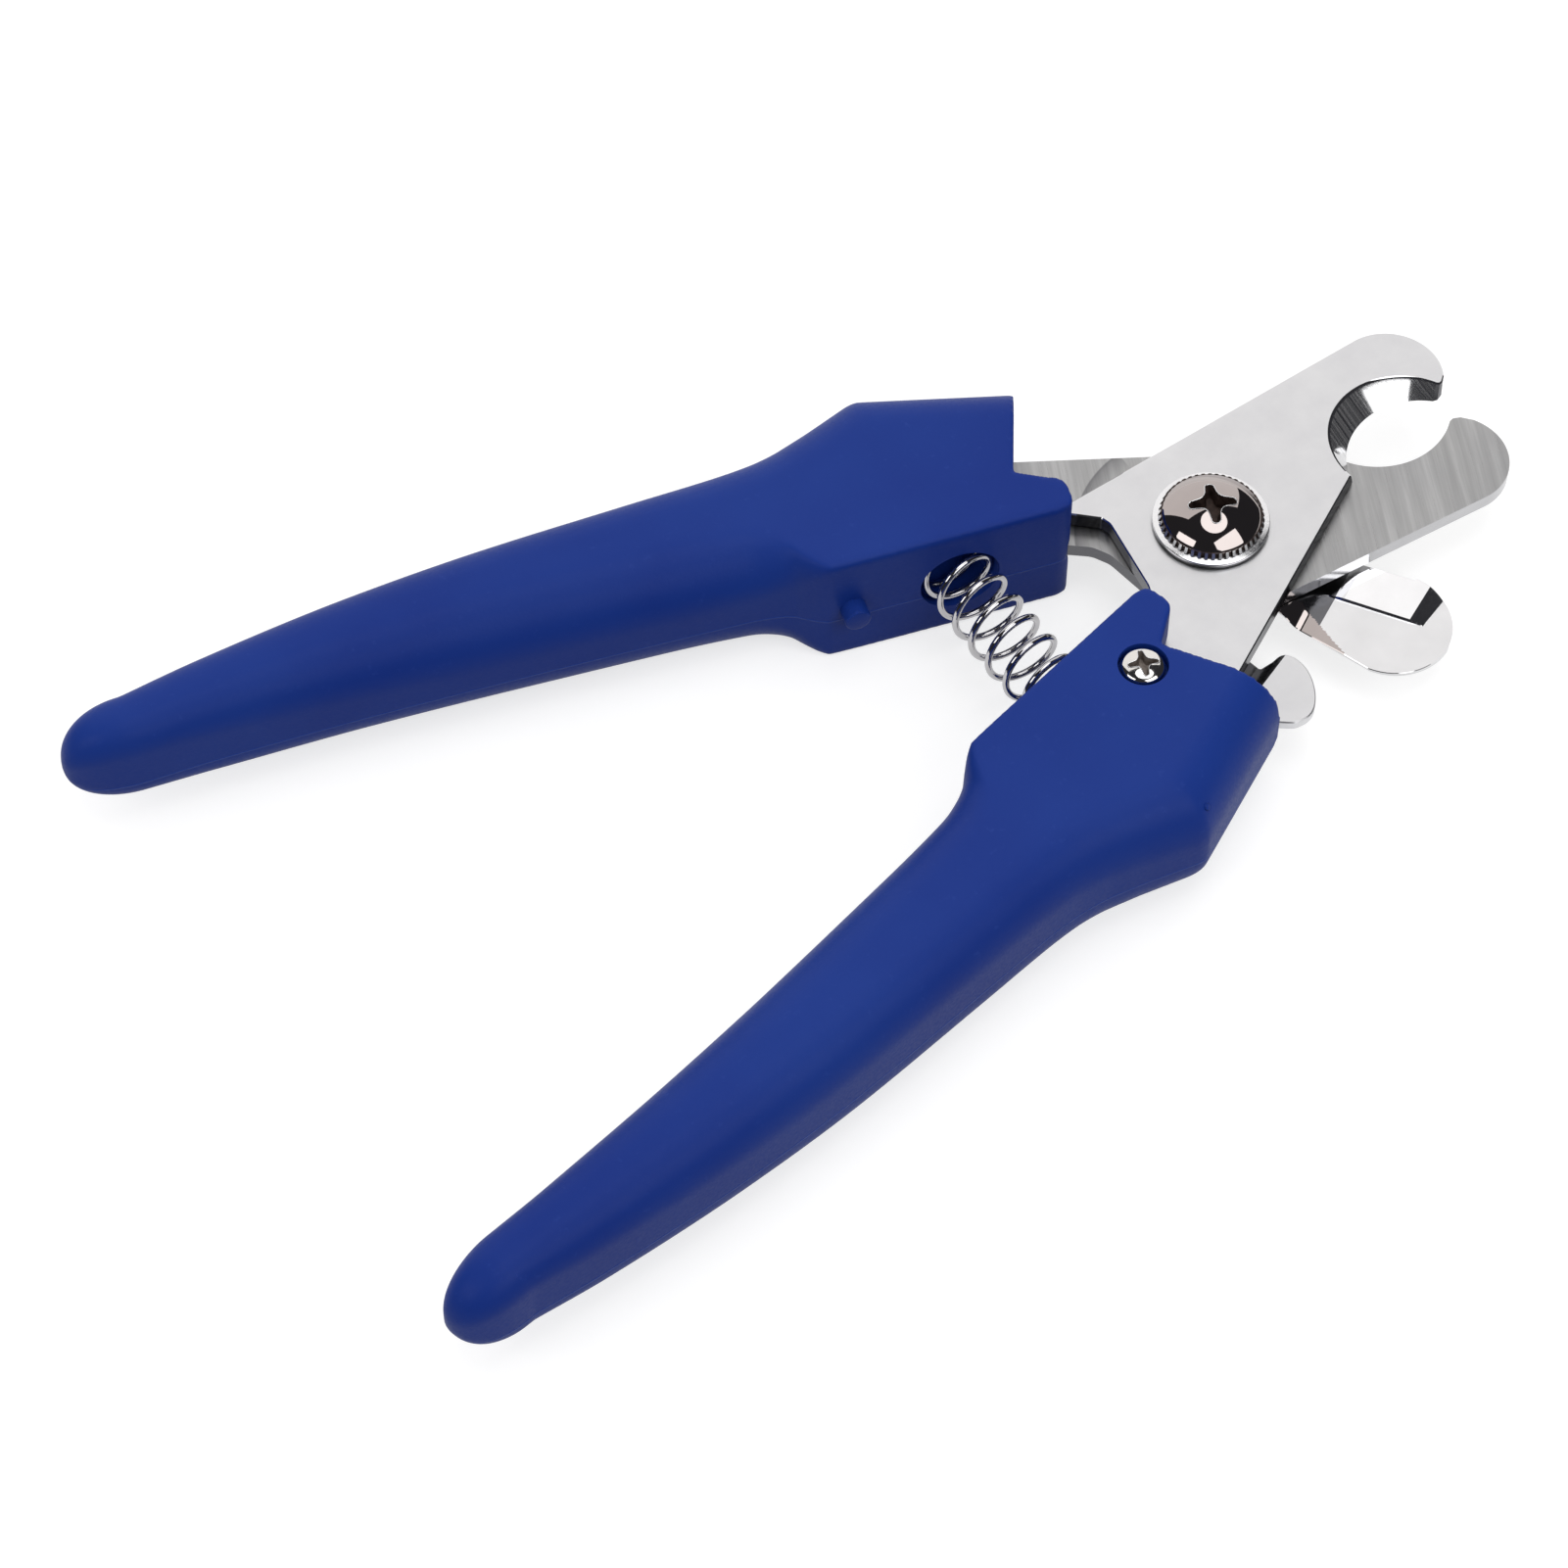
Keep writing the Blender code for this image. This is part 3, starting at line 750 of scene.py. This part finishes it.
def cross_rings(radius, half_width, low, high, at=(0.0, 0.0), turn_deg=0.0):
    """Bottom and top outline of a four-lobed recess with rounded lobes."""
    def plus(r, w, z):
        points = []
        for k in range(4):
            angle = math.radians(90.0 * k + turn_deg)
            lobe = [(r - w + w * math.cos(a), w * math.sin(a))
                    for a in np.linspace(-1.35, 1.35, 9)]
            inner = [(w * 2.6, w * 1.2), (w * 1.9, w * 1.5), (w * 1.5, w * 1.9), (w * 1.2, w * 2.6)]
            for x, y in lobe + inner:
                points.append((
                    at[0] + x * math.cos(angle) - y * math.sin(angle),
                    at[1] + x * math.sin(angle) + y * math.cos(angle),
                    z,
                ))
        return points
    return plus(radius * 0.60, half_width * 0.62, low), plus(radius, half_width, high)


def recess_rim(rings, at, profile):
    """A fine bright bead where the recess meets the screw's domed face."""
    radii = [p[0] for p in profile]
    heights = [p[1] for p in profile]
    falling = next(i for i in range(1, len(radii)) if radii[i] <= radii[i - 1])
    path = []
    for low, high in zip(*rings):
        for share in np.linspace(0.0, 1.0, 60):
            point = Vector(low).lerp(Vector(high), share)
            reach = math.hypot(point.x - at[0], point.y - at[1])
            if point.z >= np.interp(reach, radii[:falling], heights[:falling]):
                break
        path.append(point)
    bm = bmesh.new()
    loops = []
    for i, point in enumerate(path):
        along = (path[(i + 1) % len(path)] - path[i - 1]).normalized()
        side = along.cross(Vector((0.0, 0.0, 1.0))).normalized()
        rise = side.cross(along)
        loops.append([
            bm.verts.new(point + RIM_R * (side * math.cos(t) + rise * math.sin(t)))
            for t in np.linspace(0.0, 2.0 * math.pi, 8, endpoint=False)])
    for here, there in zip(loops, loops[1:] + loops[:1]):
        for k in range(8):
            bm.faces.new((here[k], here[(k + 1) % 8], there[(k + 1) % 8], there[k]))
    return bm


def screw_with_recess(name, profile, segments, recess, at, mats, body, replaces, mark_z):
    """A turned screw with its recess; mark_z is the recess's depth and radius for mats[1]."""
    bm = turned_mesh(profile, segments)
    bmesh.ops.translate(bm, vec=(at[0], at[1], 0.0), verts=bm.verts)
    screw = solid(name, bm)
    for mat in mats:
        screw.data.materials.append(mat)
    mesh = baked(screw, [cut(screw, loft(recess))])
    reach = 0.95 * recess_reach(mark_z, profile)
    for face in mesh.polygons:
        x, y, z = face.center
        inside = math.hypot(x - at[0], y - at[1]) < mark_z[1]
        # Faces inside the recess take mats[1], a colour darkened as painted shade.
        steep = face.normal.z < 0.80 or z < reach
        face.material_index = 1 if inside and steep and z > mark_z[0] else 0
    mesh.transform(PLACE)
    finish_piece(name + "_finish", mesh, [], body, replaces, 32.0)
    put(name + "_recess_rim", recess_rim(recess, at, profile), [EDGE], body,
        smooth_angle=60.0)


def recess_reach(mark_z, profile):
    """Height under which a face inside the recess belongs to its bottom."""
    return min(z for radius, z in profile if radius < mark_z[1] and z > mark_z[0])


def make_pivot():
    """The dome-headed screw, its flange ring and what is under the stack."""
    rim = FLANGE[1] + 0.12
    shoulder = rim + 0.75
    cap = (DOME_R ** 2 + (DOME_TOP - shoulder) ** 2) / (2 * (DOME_TOP - shoulder))
    profile = [(0.0, DOME_TOP)]
    steps = 22
    for i in range(1, steps + 1):
        radius = DOME_R * i / steps
        profile.append((radius, DOME_TOP - cap + math.sqrt(cap ** 2 - radius ** 2)))
    profile += [
        (DOME_R + 0.04, shoulder - 0.10),
        (DOME_R + 0.04, rim),
        (SHANK_R, rim),
        (SHANK_R, NUT[0] - 0.4),
        (0.0, NUT[0] - 0.4),
    ]
    recess = cross_rings(3.2, 0.60, 3.9, 6.1, turn_deg=-25.7)
    screw_with_recess(
        "pivot_screw", profile, 96, recess, (0.0, 0.0), [NICKEL, RECESS_SHADE], "right",
        ["pivot_screw"], (3.85, 3.0))

    # Serrations on the skirt below the dome
    rings = []
    for z, ridge, valley in ((rim, 5.98, 5.66), (shoulder, DOME_R + 0.14, DOME_R + 0.02)):
        ring = []
        for k in range(SERRATIONS):
            for part, radius in ((0.0, ridge), (0.42, ridge), (0.52, valley), (0.90, valley)):
                angle = 2 * math.pi * (k + part) / SERRATIONS
                ring.append((radius * math.cos(angle), radius * math.sin(angle), z))
        rings.append(ring)
    bm = loft(rings)
    # Ridge tops take the washer steel; the flanks and valleys take the dark recess colour, a
    # painted shade in the grooves.
    for number, face in enumerate(bm.faces):
        face.material_index = 0 if number % 4 == 0 else 1
    put("pivot_serrations", bm, [WASHER, RECESS_SHADE], "right",
        smooth_angle=10.0)

    low, high = FLANGE
    bevel = 0.18
    profile = [
        (SHANK_R + 0.3, high),
        (FLANGE_R - bevel, high),
        (FLANGE_R - 0.05, high - 0.05),
        (FLANGE_R, high - bevel),
        (FLANGE_R, low + 0.3),
        (FLANGE_R, low),
        (SHANK_R + 0.3, low),
        (SHANK_R + 0.3, high),
    ]
    bm = turned_mesh(profile[:-1], 96)
    # The foot of the flange's wall is painted dark, a painted contact shadow.
    for face in bm.faces:
        wall = all(math.hypot(v.co.x, v.co.y) > FLANGE_R - 0.01 for v in face.verts)
        if wall and max(v.co.z for v in face.verts) < low + 0.31:
            face.material_index = 1
    close_tube(bm, SHANK_R + 0.3, high, low)
    put("pivot_washer_finish", bm, [WASHER, PAINTED_SHADE], "right",
        ["pivot_washer"])

    # The underside: wavy washer and hexagon nut
    bm = bmesh.new()
    segments = 96
    inner, outer = SHANK_R + 0.3, 5.2
    rows = []
    for radius, offset in ((inner, 0.0), (outer, 0.0), (outer, -0.22), (inner, -0.22)):
        row = []
        for k in range(segments):
            angle = 2 * math.pi * k / segments
            z = -3.48 + offset + 0.02 * math.sin(3 * angle)
            row.append(bm.verts.new((radius * math.cos(angle), radius * math.sin(angle), z)))
        rows.append(row)
    for row, following in zip(rows, rows[1:] + rows[:1]):
        for k in range(segments):
            j = (k + 1) % segments
            bm.faces.new((row[k], row[j], following[j], following[k]))
    put("spring_washer_finish", bm, [MIRROR], "right", ["spring_washer"])

    nut = solid("pivot_nut", cylinder(NUT_R, *NUT, 6))
    cone = turned_mesh([
        (0.0, NUT[1] + 0.01),
        (NUT_R + 0.6, NUT[1] + 0.01),
        (NUT_R + 0.6, NUT[0] + 0.5),
        (NUT_R * 0.86, NUT[0] - 0.01),
        (0.0, NUT[0] - 0.01),
    ], 64)
    tools = [cut(nut, cone, "INTERSECT"), cut(nut, cylinder(SHANK_R + 0.2, -8.0, -2.0, 48))]
    mesh = baked(nut, tools)
    mesh.transform(PLACE)
    finish_piece("pivot_nut_finish", mesh, [MIRROR], "right", ["pivot_nut"], 20.0)


def close_tube(bm, radius, high, low):
    """Close the inner wall of a ring made by turned_mesh."""
    top = [v for v in bm.verts if abs(v.co.xy.length - radius) < 1e-4 and abs(v.co.z - high) < 1e-4]
    base = [v for v in bm.verts if abs(v.co.xy.length - radius) < 1e-4 and abs(v.co.z - low) < 1e-4]
    top.sort(key=lambda v: math.atan2(v.co.y, v.co.x))
    base.sort(key=lambda v: math.atan2(v.co.y, v.co.x))
    for k in range(len(top)):
        j = (k + 1) % len(top)
        bm.faces.new((top[k], top[j], base[j], base[k]))


# ---------------------------------------------------------------- guard

GUARD_ANGLE = math.radians(-60.3)
GUARD_TOP_ROOT = -2.2
GUARD_TOP_PADDLE = -3.1
GUARD_THICK = 1.0
GUARD_BOSS_R = 6.6
PADDLE_REACH = 22.5
PADDLE_R = 6.85
GUARD_CHAMFER = 0.08
GUARD_UNDERCUT = 0.45          # of the plate's lower edge
GUARD_EASE = 0.06              # by which the upper face falls at the rim
JOGGLE = (10.5, 14.0)          # reach over which the guard steps down
PAD_START = 16.4
PAD_RISE = 0.42


def guard_half_widths(reach):
    """Half widths to the left and right: a boss, a tapering arm and a round paddle."""
    boss = math.sqrt(max(0.0, GUARD_BOSS_R ** 2 - reach ** 2))
    left = max(boss, 3.0 + 0.169 * reach)
    right = max(boss, 4.0 + 0.115 * reach)
    if reach > PADDLE_REACH:
        left = right = math.sqrt(max(0.0, PADDLE_R ** 2 - (reach - PADDLE_REACH) ** 2))
    return min(left, PADDLE_R), min(right, PADDLE_R)


def smoothstep(value, low, high):
    """0 below low, 1 above high, and smooth between them."""
    t = min(1.0, max(0.0, (value - low) / (high - low)))
    return t * t * (3.0 - 2.0 * t)


def pad_edge(reach):
    """Where, across the guard, the step to the raised pad lies."""
    return 0.53 + (reach - PAD_START) * 0.09


def dish_edge(reach):
    """Where the shallow dished facet along the guard's near edge begins."""
    return -2.1 - 0.58 * (reach - 12.5)


def guard_top(reach, across):
    """Height of the guard's upper face: a joggle below the blade, and a raised pad past it."""
    top = GUARD_TOP_ROOT + (GUARD_TOP_PADDLE - GUARD_TOP_ROOT) * smoothstep(reach, *JOGGLE)
    slope_start = 24.15 + 0.03 * across
    slope_end = 25.5 + 0.16 * across
    end = min(1.0, max(0.0, (slope_end - reach) / (slope_end - slope_start)))
    start = smoothstep(reach, JOGGLE[1], PAD_START)
    if across > pad_edge(reach):
        top += PAD_RISE * end * start
    dish = smoothstep(reach, 11.5, 13.0) * (1.0 - smoothstep(reach, 17.0, 19.8))
    return top - 0.12 * dish * max(0.0, dish_edge(reach) - across)


def make_guard():
    """The swinging guard, drawn along +X from the pivot and then turned to its place."""
    reaches = [-GUARD_BOSS_R * math.cos(math.radians(a)) for a in range(6, 90, 6)]
    reaches += list(np.arange(0.5, PADDLE_REACH, 0.25))
    reaches += [PADDLE_REACH + PADDLE_R * math.sin(math.radians(a)) for a in range(0, 88, 1)]
    reaches.append(PADDLE_REACH + PADDLE_R * 0.9995)
    rings = []
    for reach in reaches:
        left, right = guard_half_widths(reach)
        floor = GUARD_TOP_ROOT - GUARD_THICK
        floor += (GUARD_TOP_PADDLE - GUARD_TOP_ROOT) * smoothstep(reach, *JOGGLE)
        inset_left = max(left - GUARD_CHAMFER, left * 0.5)
        inset_right = max(right - GUARD_CHAMFER, right * 0.5)
        step = min(pad_edge(reach), 0.6 * inset_right)
        under = min(GUARD_UNDERCUT, 0.5 * left, 0.5 * right)
        ring = [(reach, under - left, floor), (reach, right - under, floor)]
        ring.append((reach, right, guard_top(reach, right) - GUARD_EASE))
        for across in np.linspace(inset_right, step + 0.02, 36):
            ring.append((reach, across, guard_top(reach, max(across, pad_edge(reach) + 0.01))))
        for across in np.linspace(step - 0.08, -inset_left, 36):
            ring.append((reach, across, guard_top(reach, min(across, pad_edge(reach) - 0.01))))
        ring.append((reach, -left, max(floor + 0.1, guard_top(reach, -left) - GUARD_EASE)))
        rings.append(ring)
    bm = loft(rings)
    bm.normal_update()
    for face in bm.faces:
        middle = face.calc_center_median()
        # The raised pad takes the lighter steel: a smoother finish, with a painted bright
        # reflection.
        if PAD_START < middle.x < 24.6 and middle.y > pad_edge(middle.x):
            face.material_index = 1
        # The dished facet takes the darker, browner nickel colour, a painted darker reflection on
        # the same steel.
        elif 10.0 < middle.x < 19.6 and middle.y < dish_edge(middle.x) and face.normal.z > 0.5:
            face.material_index = 2
        # Upward faces over the joggle are painted dark, a painted shade under the blade above.
        elif 9.0 < middle.x < 15.4 and middle.y >= dish_edge(middle.x) and face.normal.z > 0.3:
            face.material_index = 3
    bmesh.ops.transform(bm, matrix=Matrix.Rotation(GUARD_ANGLE, 4, "Z"), verts=bm.verts)
    guard = solid("nail_guard", bm)
    for mat in (GUARD_FACE, PAD_POLISH_AND_REFLECTION, NICKEL, PAINTED_SHADE):
        guard.data.materials.append(mat)
    mesh = baked(guard, [cut(guard, cylinder(SHANK_R + 0.3, -6.0, 0.0, 64))])
    mesh.transform(PLACE)
    finish_piece("nail_guard_finish", mesh, [], "guard", ["nail_guard"], 12.0)


# ---------------------------------------------------------------- lock

# Counterclockwise outline past the eye: the thumb tab, then the notch and the catch behind it
TAB = [
    (-9.1, -24.2), (-7.6, -25.4), (-6.6, -26.0), (-4.4, -25.9), (-2.5, -23.8),
    (-1.4, -21.0), (-1.5, -18.7), (-2.5, -17.3), (-4.0, -17.6),
]
CATCH = [
    (-5.6, -17.6), (-5.9, -16.0), (-6.4, -15.75), (-7.4, -15.6), (-8.6, -15.1),
    (-9.7, -14.9),
]
CATCH_RADII = [0.3, 0.3, 0.0, 0.0, 0.0, 0.0]
LOCK_Z = (-2.2, -1.0)
LEVER_BEVEL = 0.13
RAMP_LENGTH = 1.8
RAMP_DROP = 0.5
LOCK_HEAD_R = 2.4
LOCK_HEAD_TOP = 8.5


def cut_corners(points):
    """One round of corner cutting, which tends to a smooth curve; the ends stay."""
    result = [points[0]]
    for a, b in zip(points, points[1:]):
        for t in (0.25, 0.75):
            result.append((a[0] + (b[0] - a[0]) * t, a[1] + (b[1] - a[1]) * t))
    return result + [points[-1]]


def make_lock():
    """The lever with its thumb tab, and the screw on which it turns."""
    at_lock = (LOCK_AXIS.x, LOCK_AXIS.y)
    eye = arc(*at_lock, LOCK_EYE_R, 85.0, 250.0, 32)
    tab = TAB
    for _ in range(3):
        tab = cut_corners(tab)
    outline = round_corners(
        eye + tab + CATCH, [0.0] * (len(eye) + len(tab)) + CATCH_RADII, 8)
    low, high = LOCK_Z
    rings = [
        [(x, y, low) for x, y in grow(outline, -LEVER_BEVEL * 0.6)],
        [(x, y, low + LEVER_BEVEL * 0.6) for x, y in outline],
        [(x, y, high - LEVER_BEVEL) for x, y in outline],
        [(x, y, high) for x, y in grow(outline, -LEVER_BEVEL)],
    ]
    lever = solid("lock_lever", loft(rings))
    hole = cylinder(LOCK_SHANK_R + 0.2, -4.0, 4.0, 40, at_lock)
    mesh = baked(lever, [cut(lever, hole)])

    # Past a crease near the blade's edge the tab's upper face slopes down; the tab past the crease
    # is painted dark, a painted shade under the blade.
    crease = Vector((-1.9, -17.6, 0.0))
    beyond = Vector((-0.394, 0.919, 0.0))
    bm = bmesh.new()
    bm.from_mesh(mesh)
    for step in (0.0, RAMP_LENGTH):
        bmesh.ops.bisect_plane(
            bm, geom=bm.verts[:] + bm.edges[:] + bm.faces[:], dist=1e-4,
            plane_co=crease + beyond * step, plane_no=beyond)
    for vert in bm.verts:
        past = (vert.co - crease).dot(beyond)
        if vert.co.z > (low + high) / 2 and past > 1e-3:
            vert.co.z -= RAMP_DROP * min(1.0, past / RAMP_LENGTH)
    for face in bm.faces:
        past = (face.calc_center_median() - crease).dot(beyond)
        face.material_index = 1 if past > 0.0 else 0
    bm.to_mesh(mesh)
    bm.free()
    mesh.transform(PLACE)
    finish_piece("lock_lever_finish", mesh, [SATIN, PAINTED_SHADE], "lock",
                 ["lock_lever"], 15.0)

    seat = COUNTERBORE_FLOOR + 0.2
    profile = [(0.0, LOCK_HEAD_TOP)]
    for i in range(1, 11):
        angle = math.radians(9.0 * i)
        profile.append((
            LOCK_HEAD_R * math.sin(angle),
            LOCK_HEAD_TOP - 0.75 * (1.0 - math.cos(angle)),
        ))
    profile += [(LOCK_HEAD_R, seat), (LOCK_SHANK_R, seat), (LOCK_SHANK_R, -5.4), (0.0, -5.4)]
    recess = cross_rings(2.0, 0.36, 7.4, 8.7, at_lock, -22.0)
    screw_with_recess(
        "lock_screw", profile, 48, recess, at_lock, [BRIGHT_NICKEL, RECESS_PALE_SHADE], "right",
        ["lock_screw"], (7.3, 1.85))


# ---------------------------------------------------------------- spring

SPRING_R = 3.78                # coil, to the middle of the wire
WIRE_R = 0.40
SPRING_HALF = 13.3
SPRING_TURNS = 9.5
SPRING_BOW = 0.75              # how far the middle of the spring stands back from the pivot


def make_spring():
    """A bowed helix between the two sockets, with a dead turn at each end."""
    per_turn = 48
    around = 12
    total = int(SPRING_TURNS * per_turn)
    dead_rise = 2 * WIRE_R + 0.12
    centers = []
    y = -SPRING_HALF
    live_rise = (2 * SPRING_HALF - 2 * dead_rise) / (total - 2 * per_turn)
    for i in range(total + 1):
        angle = math.pi * SPRING_TURNS - 2 * math.pi * i / per_turn
        bow = SPRING_BOW * (1.0 - (y / SPRING_HALF) ** 2)
        centers.append(Vector((
            SPRING_X + 0.5 - bow + SPRING_R * math.cos(angle),
            y,
            SPRING_R * math.sin(angle),
        )))
        y += dead_rise / per_turn if (i < per_turn or i >= total - per_turn) else live_rise
    rings = []
    count = len(centers)
    for i, center in enumerate(centers):
        tangent = (centers[min(i + 1, count - 1)] - centers[max(i - 1, 0)]).normalized()
        outward = Vector((center.x - SPRING_X, 0.0, center.z)).normalized()
        binormal = tangent.cross(outward).normalized()
        outward = binormal.cross(tangent).normalized()
        ring = []
        for k in range(around):
            a = 2 * math.pi * k / around
            ring.append(tuple(center + outward * (WIRE_R * math.cos(a))
                              + binormal * (WIRE_R * math.sin(a))))
        rings.append(ring)
    spring = put("handle_spring_wire", loft(rings), [WIRE], None,
                 ["handle_spring"], 60.0)
    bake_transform(spring)


# ---------------------------------------------------------------- floor, light and camera

CAMERA_AZIMUTH = math.radians(57.1)    # direction of view over the floor
CAMERA_TILT = math.radians(54.93)      # downwards
CAMERA_DISTANCE = 0.54565
AIM = Vector((-0.01513, -0.00334, 0.00884))
LENS = 115.95


def view_frame():
    """Away from the camera over the floor, to its right, and up."""
    away = Vector((math.cos(CAMERA_AZIMUTH), math.sin(CAMERA_AZIMUTH), 0.0))
    right = Vector((math.sin(CAMERA_AZIMUTH), -math.cos(CAMERA_AZIMUTH), 0.0))
    return away, right, Vector((0.0, 0.0, 1.0))


def make_camera():
    """The camera, at the viewpoint that the constants above give."""
    away, _, up = view_frame()
    backwards = -away * math.cos(CAMERA_TILT) + up * math.sin(CAMERA_TILT)
    data = bpy.data.cameras.new("camera")
    data.lens = LENS
    data.sensor_width = 36.0
    data.clip_start = 0.01
    camera = bpy.data.objects.new("camera", data)
    camera.location = AIM + backwards * CAMERA_DISTANCE
    camera.rotation_euler = backwards.to_track_quat("Z", "Y").to_euler()
    bpy.context.scene.collection.objects.link(camera)
    bpy.context.scene.camera = camera


def soft_light(name, azimuth_deg, elevation_deg, distance, size, power, color=(1.0, 1.0, 1.0),
               shape="RECTANGLE", roll_deg=0.0):
    """An area light that faces the object; azimuth is from the view direction, to the left."""
    away, right, up = view_frame()
    azimuth = math.radians(azimuth_deg)
    elevation = math.radians(elevation_deg)
    level = away * math.cos(azimuth) - right * math.sin(azimuth)
    direction = level * math.cos(elevation) + up * math.sin(elevation)
    data = bpy.data.lights.new(name, "AREA")
    data.shape = shape
    data.size = size[0]
    if shape == "RECTANGLE":
        data.size_y = size[1]
    data.energy = power
    data.color = color
    light = bpy.data.objects.new(name, data)
    light.location = PIVOT + direction * distance
    roll = Quaternion((0.0, 0.0, 1.0), math.radians(roll_deg))
    light.rotation_euler = (direction.to_track_quat("Z", "Y") @ roll).to_euler()
    light.visible_camera = False
    bpy.context.scene.collection.objects.link(light)
    return light


def by_ray(tree, camera, glossy, diffuse):
    """A value that differs for camera, glossy and diffuse rays, as a studio's flags would do."""
    path = tree.nodes.new("ShaderNodeLightPath")
    first = tree.nodes.new("ShaderNodeMix")
    first.inputs["A"].default_value = diffuse
    first.inputs["B"].default_value = glossy
    tree.links.new(path.outputs["Is Glossy Ray"], first.inputs["Factor"])
    second = tree.nodes.new("ShaderNodeMix")
    second.inputs["B"].default_value = camera
    tree.links.new(path.outputs["Is Camera Ray"], second.inputs["Factor"])
    tree.links.new(first.outputs["Result"], second.inputs["A"])
    return second.outputs["Result"]


def make_floor():
    """A pale plain floor."""
    bm = bmesh.new()
    bmesh.ops.create_grid(bm, x_segments=1, y_segments=1, size=3.0)
    mesh = bpy.data.meshes.new("floor")
    bm.to_mesh(mesh)
    bm.free()
    floor = bpy.data.objects.new("floor", mesh)
    bpy.context.scene.collection.objects.link(floor)
    n = Nodes("floor_white")
    shade = n.ramp(n.noise(n.mapped(), 3.0), [(0.3, 0.44), (0.7, 0.46)])
    glow = by_ray(n.tree, camera=0.66, glossy=0.50, diffuse=0.05)
    mesh.materials.append(n.set(
        Base_Color=shade, Roughness=0.9, Specular_IOR_Level=0.0,
        Emission_Color=(1.0, 1.0, 1.0), Emission_Strength=glow))


def make_world():
    """White to the eye, a soft grey sky for diffuse light, and a dark room in reflections."""
    world = bpy.data.worlds.new("studio")
    bpy.context.scene.world = world
    world.use_nodes = True
    tree = world.node_tree
    tree.nodes.clear()
    path = tree.nodes.new("ShaderNodeLightPath")
    last = None
    for ray, color, strength in (
            (None, (1.0, 1.0, 1.0), 0.42),
            ("Is Glossy Ray", (0.030, 0.030, 0.034), 1.0),
            ("Is Camera Ray", (1.0, 1.0, 1.0), 1.0)):
        light = tree.nodes.new("ShaderNodeBackground")
        light.inputs["Color"].default_value = (*color, 1.0)
        light.inputs["Strength"].default_value = strength
        if ray:
            choice = tree.nodes.new("ShaderNodeMixShader")
            tree.links.new(path.outputs[ray], choice.inputs[0])
            tree.links.new(last, choice.inputs[1])
            tree.links.new(light.outputs[0], choice.inputs[2])
            last = choice.outputs[0]
        else:
            last = light.outputs[0]
    output = tree.nodes.new("ShaderNodeOutputWorld")
    tree.links.new(last, output.inputs["Surface"])


def make_lights():
    """A wide wall of light behind the object, and three soft boxes."""
    soft_light("back_wall", 11.0, 29.0, 1.3, (2.3, 1.9), 13.7, (1.0, 0.985, 0.975), roll_deg=12.0)
    soft_light("overhead", -60.0, 84.0, 1.2, (0.84, 0.84), 3.6, shape="DISK")
    soft_light("left_box", 118.0, 41.0, 1.2, (0.70, 0.42), 2.0, roll_deg=20.0)
    soft_light("right_box", -134.0, 45.0, 1.2, (0.94, 0.74), 4.4, roll_deg=-6.0)
    scene = bpy.context.scene
    scene.view_settings.view_transform = "Standard"


make_handle("left_handle", 1, "left")
make_handle("right_handle", -1, "right")
make_blade("upper_blade", SATIN, "right", lower=False)
make_blade("lower_blade", BRUSHED, "left", lower=True)
make_pivot()
make_guard()
make_lock()
make_spring()
make_floor()
make_world()
make_lights()
make_camera()
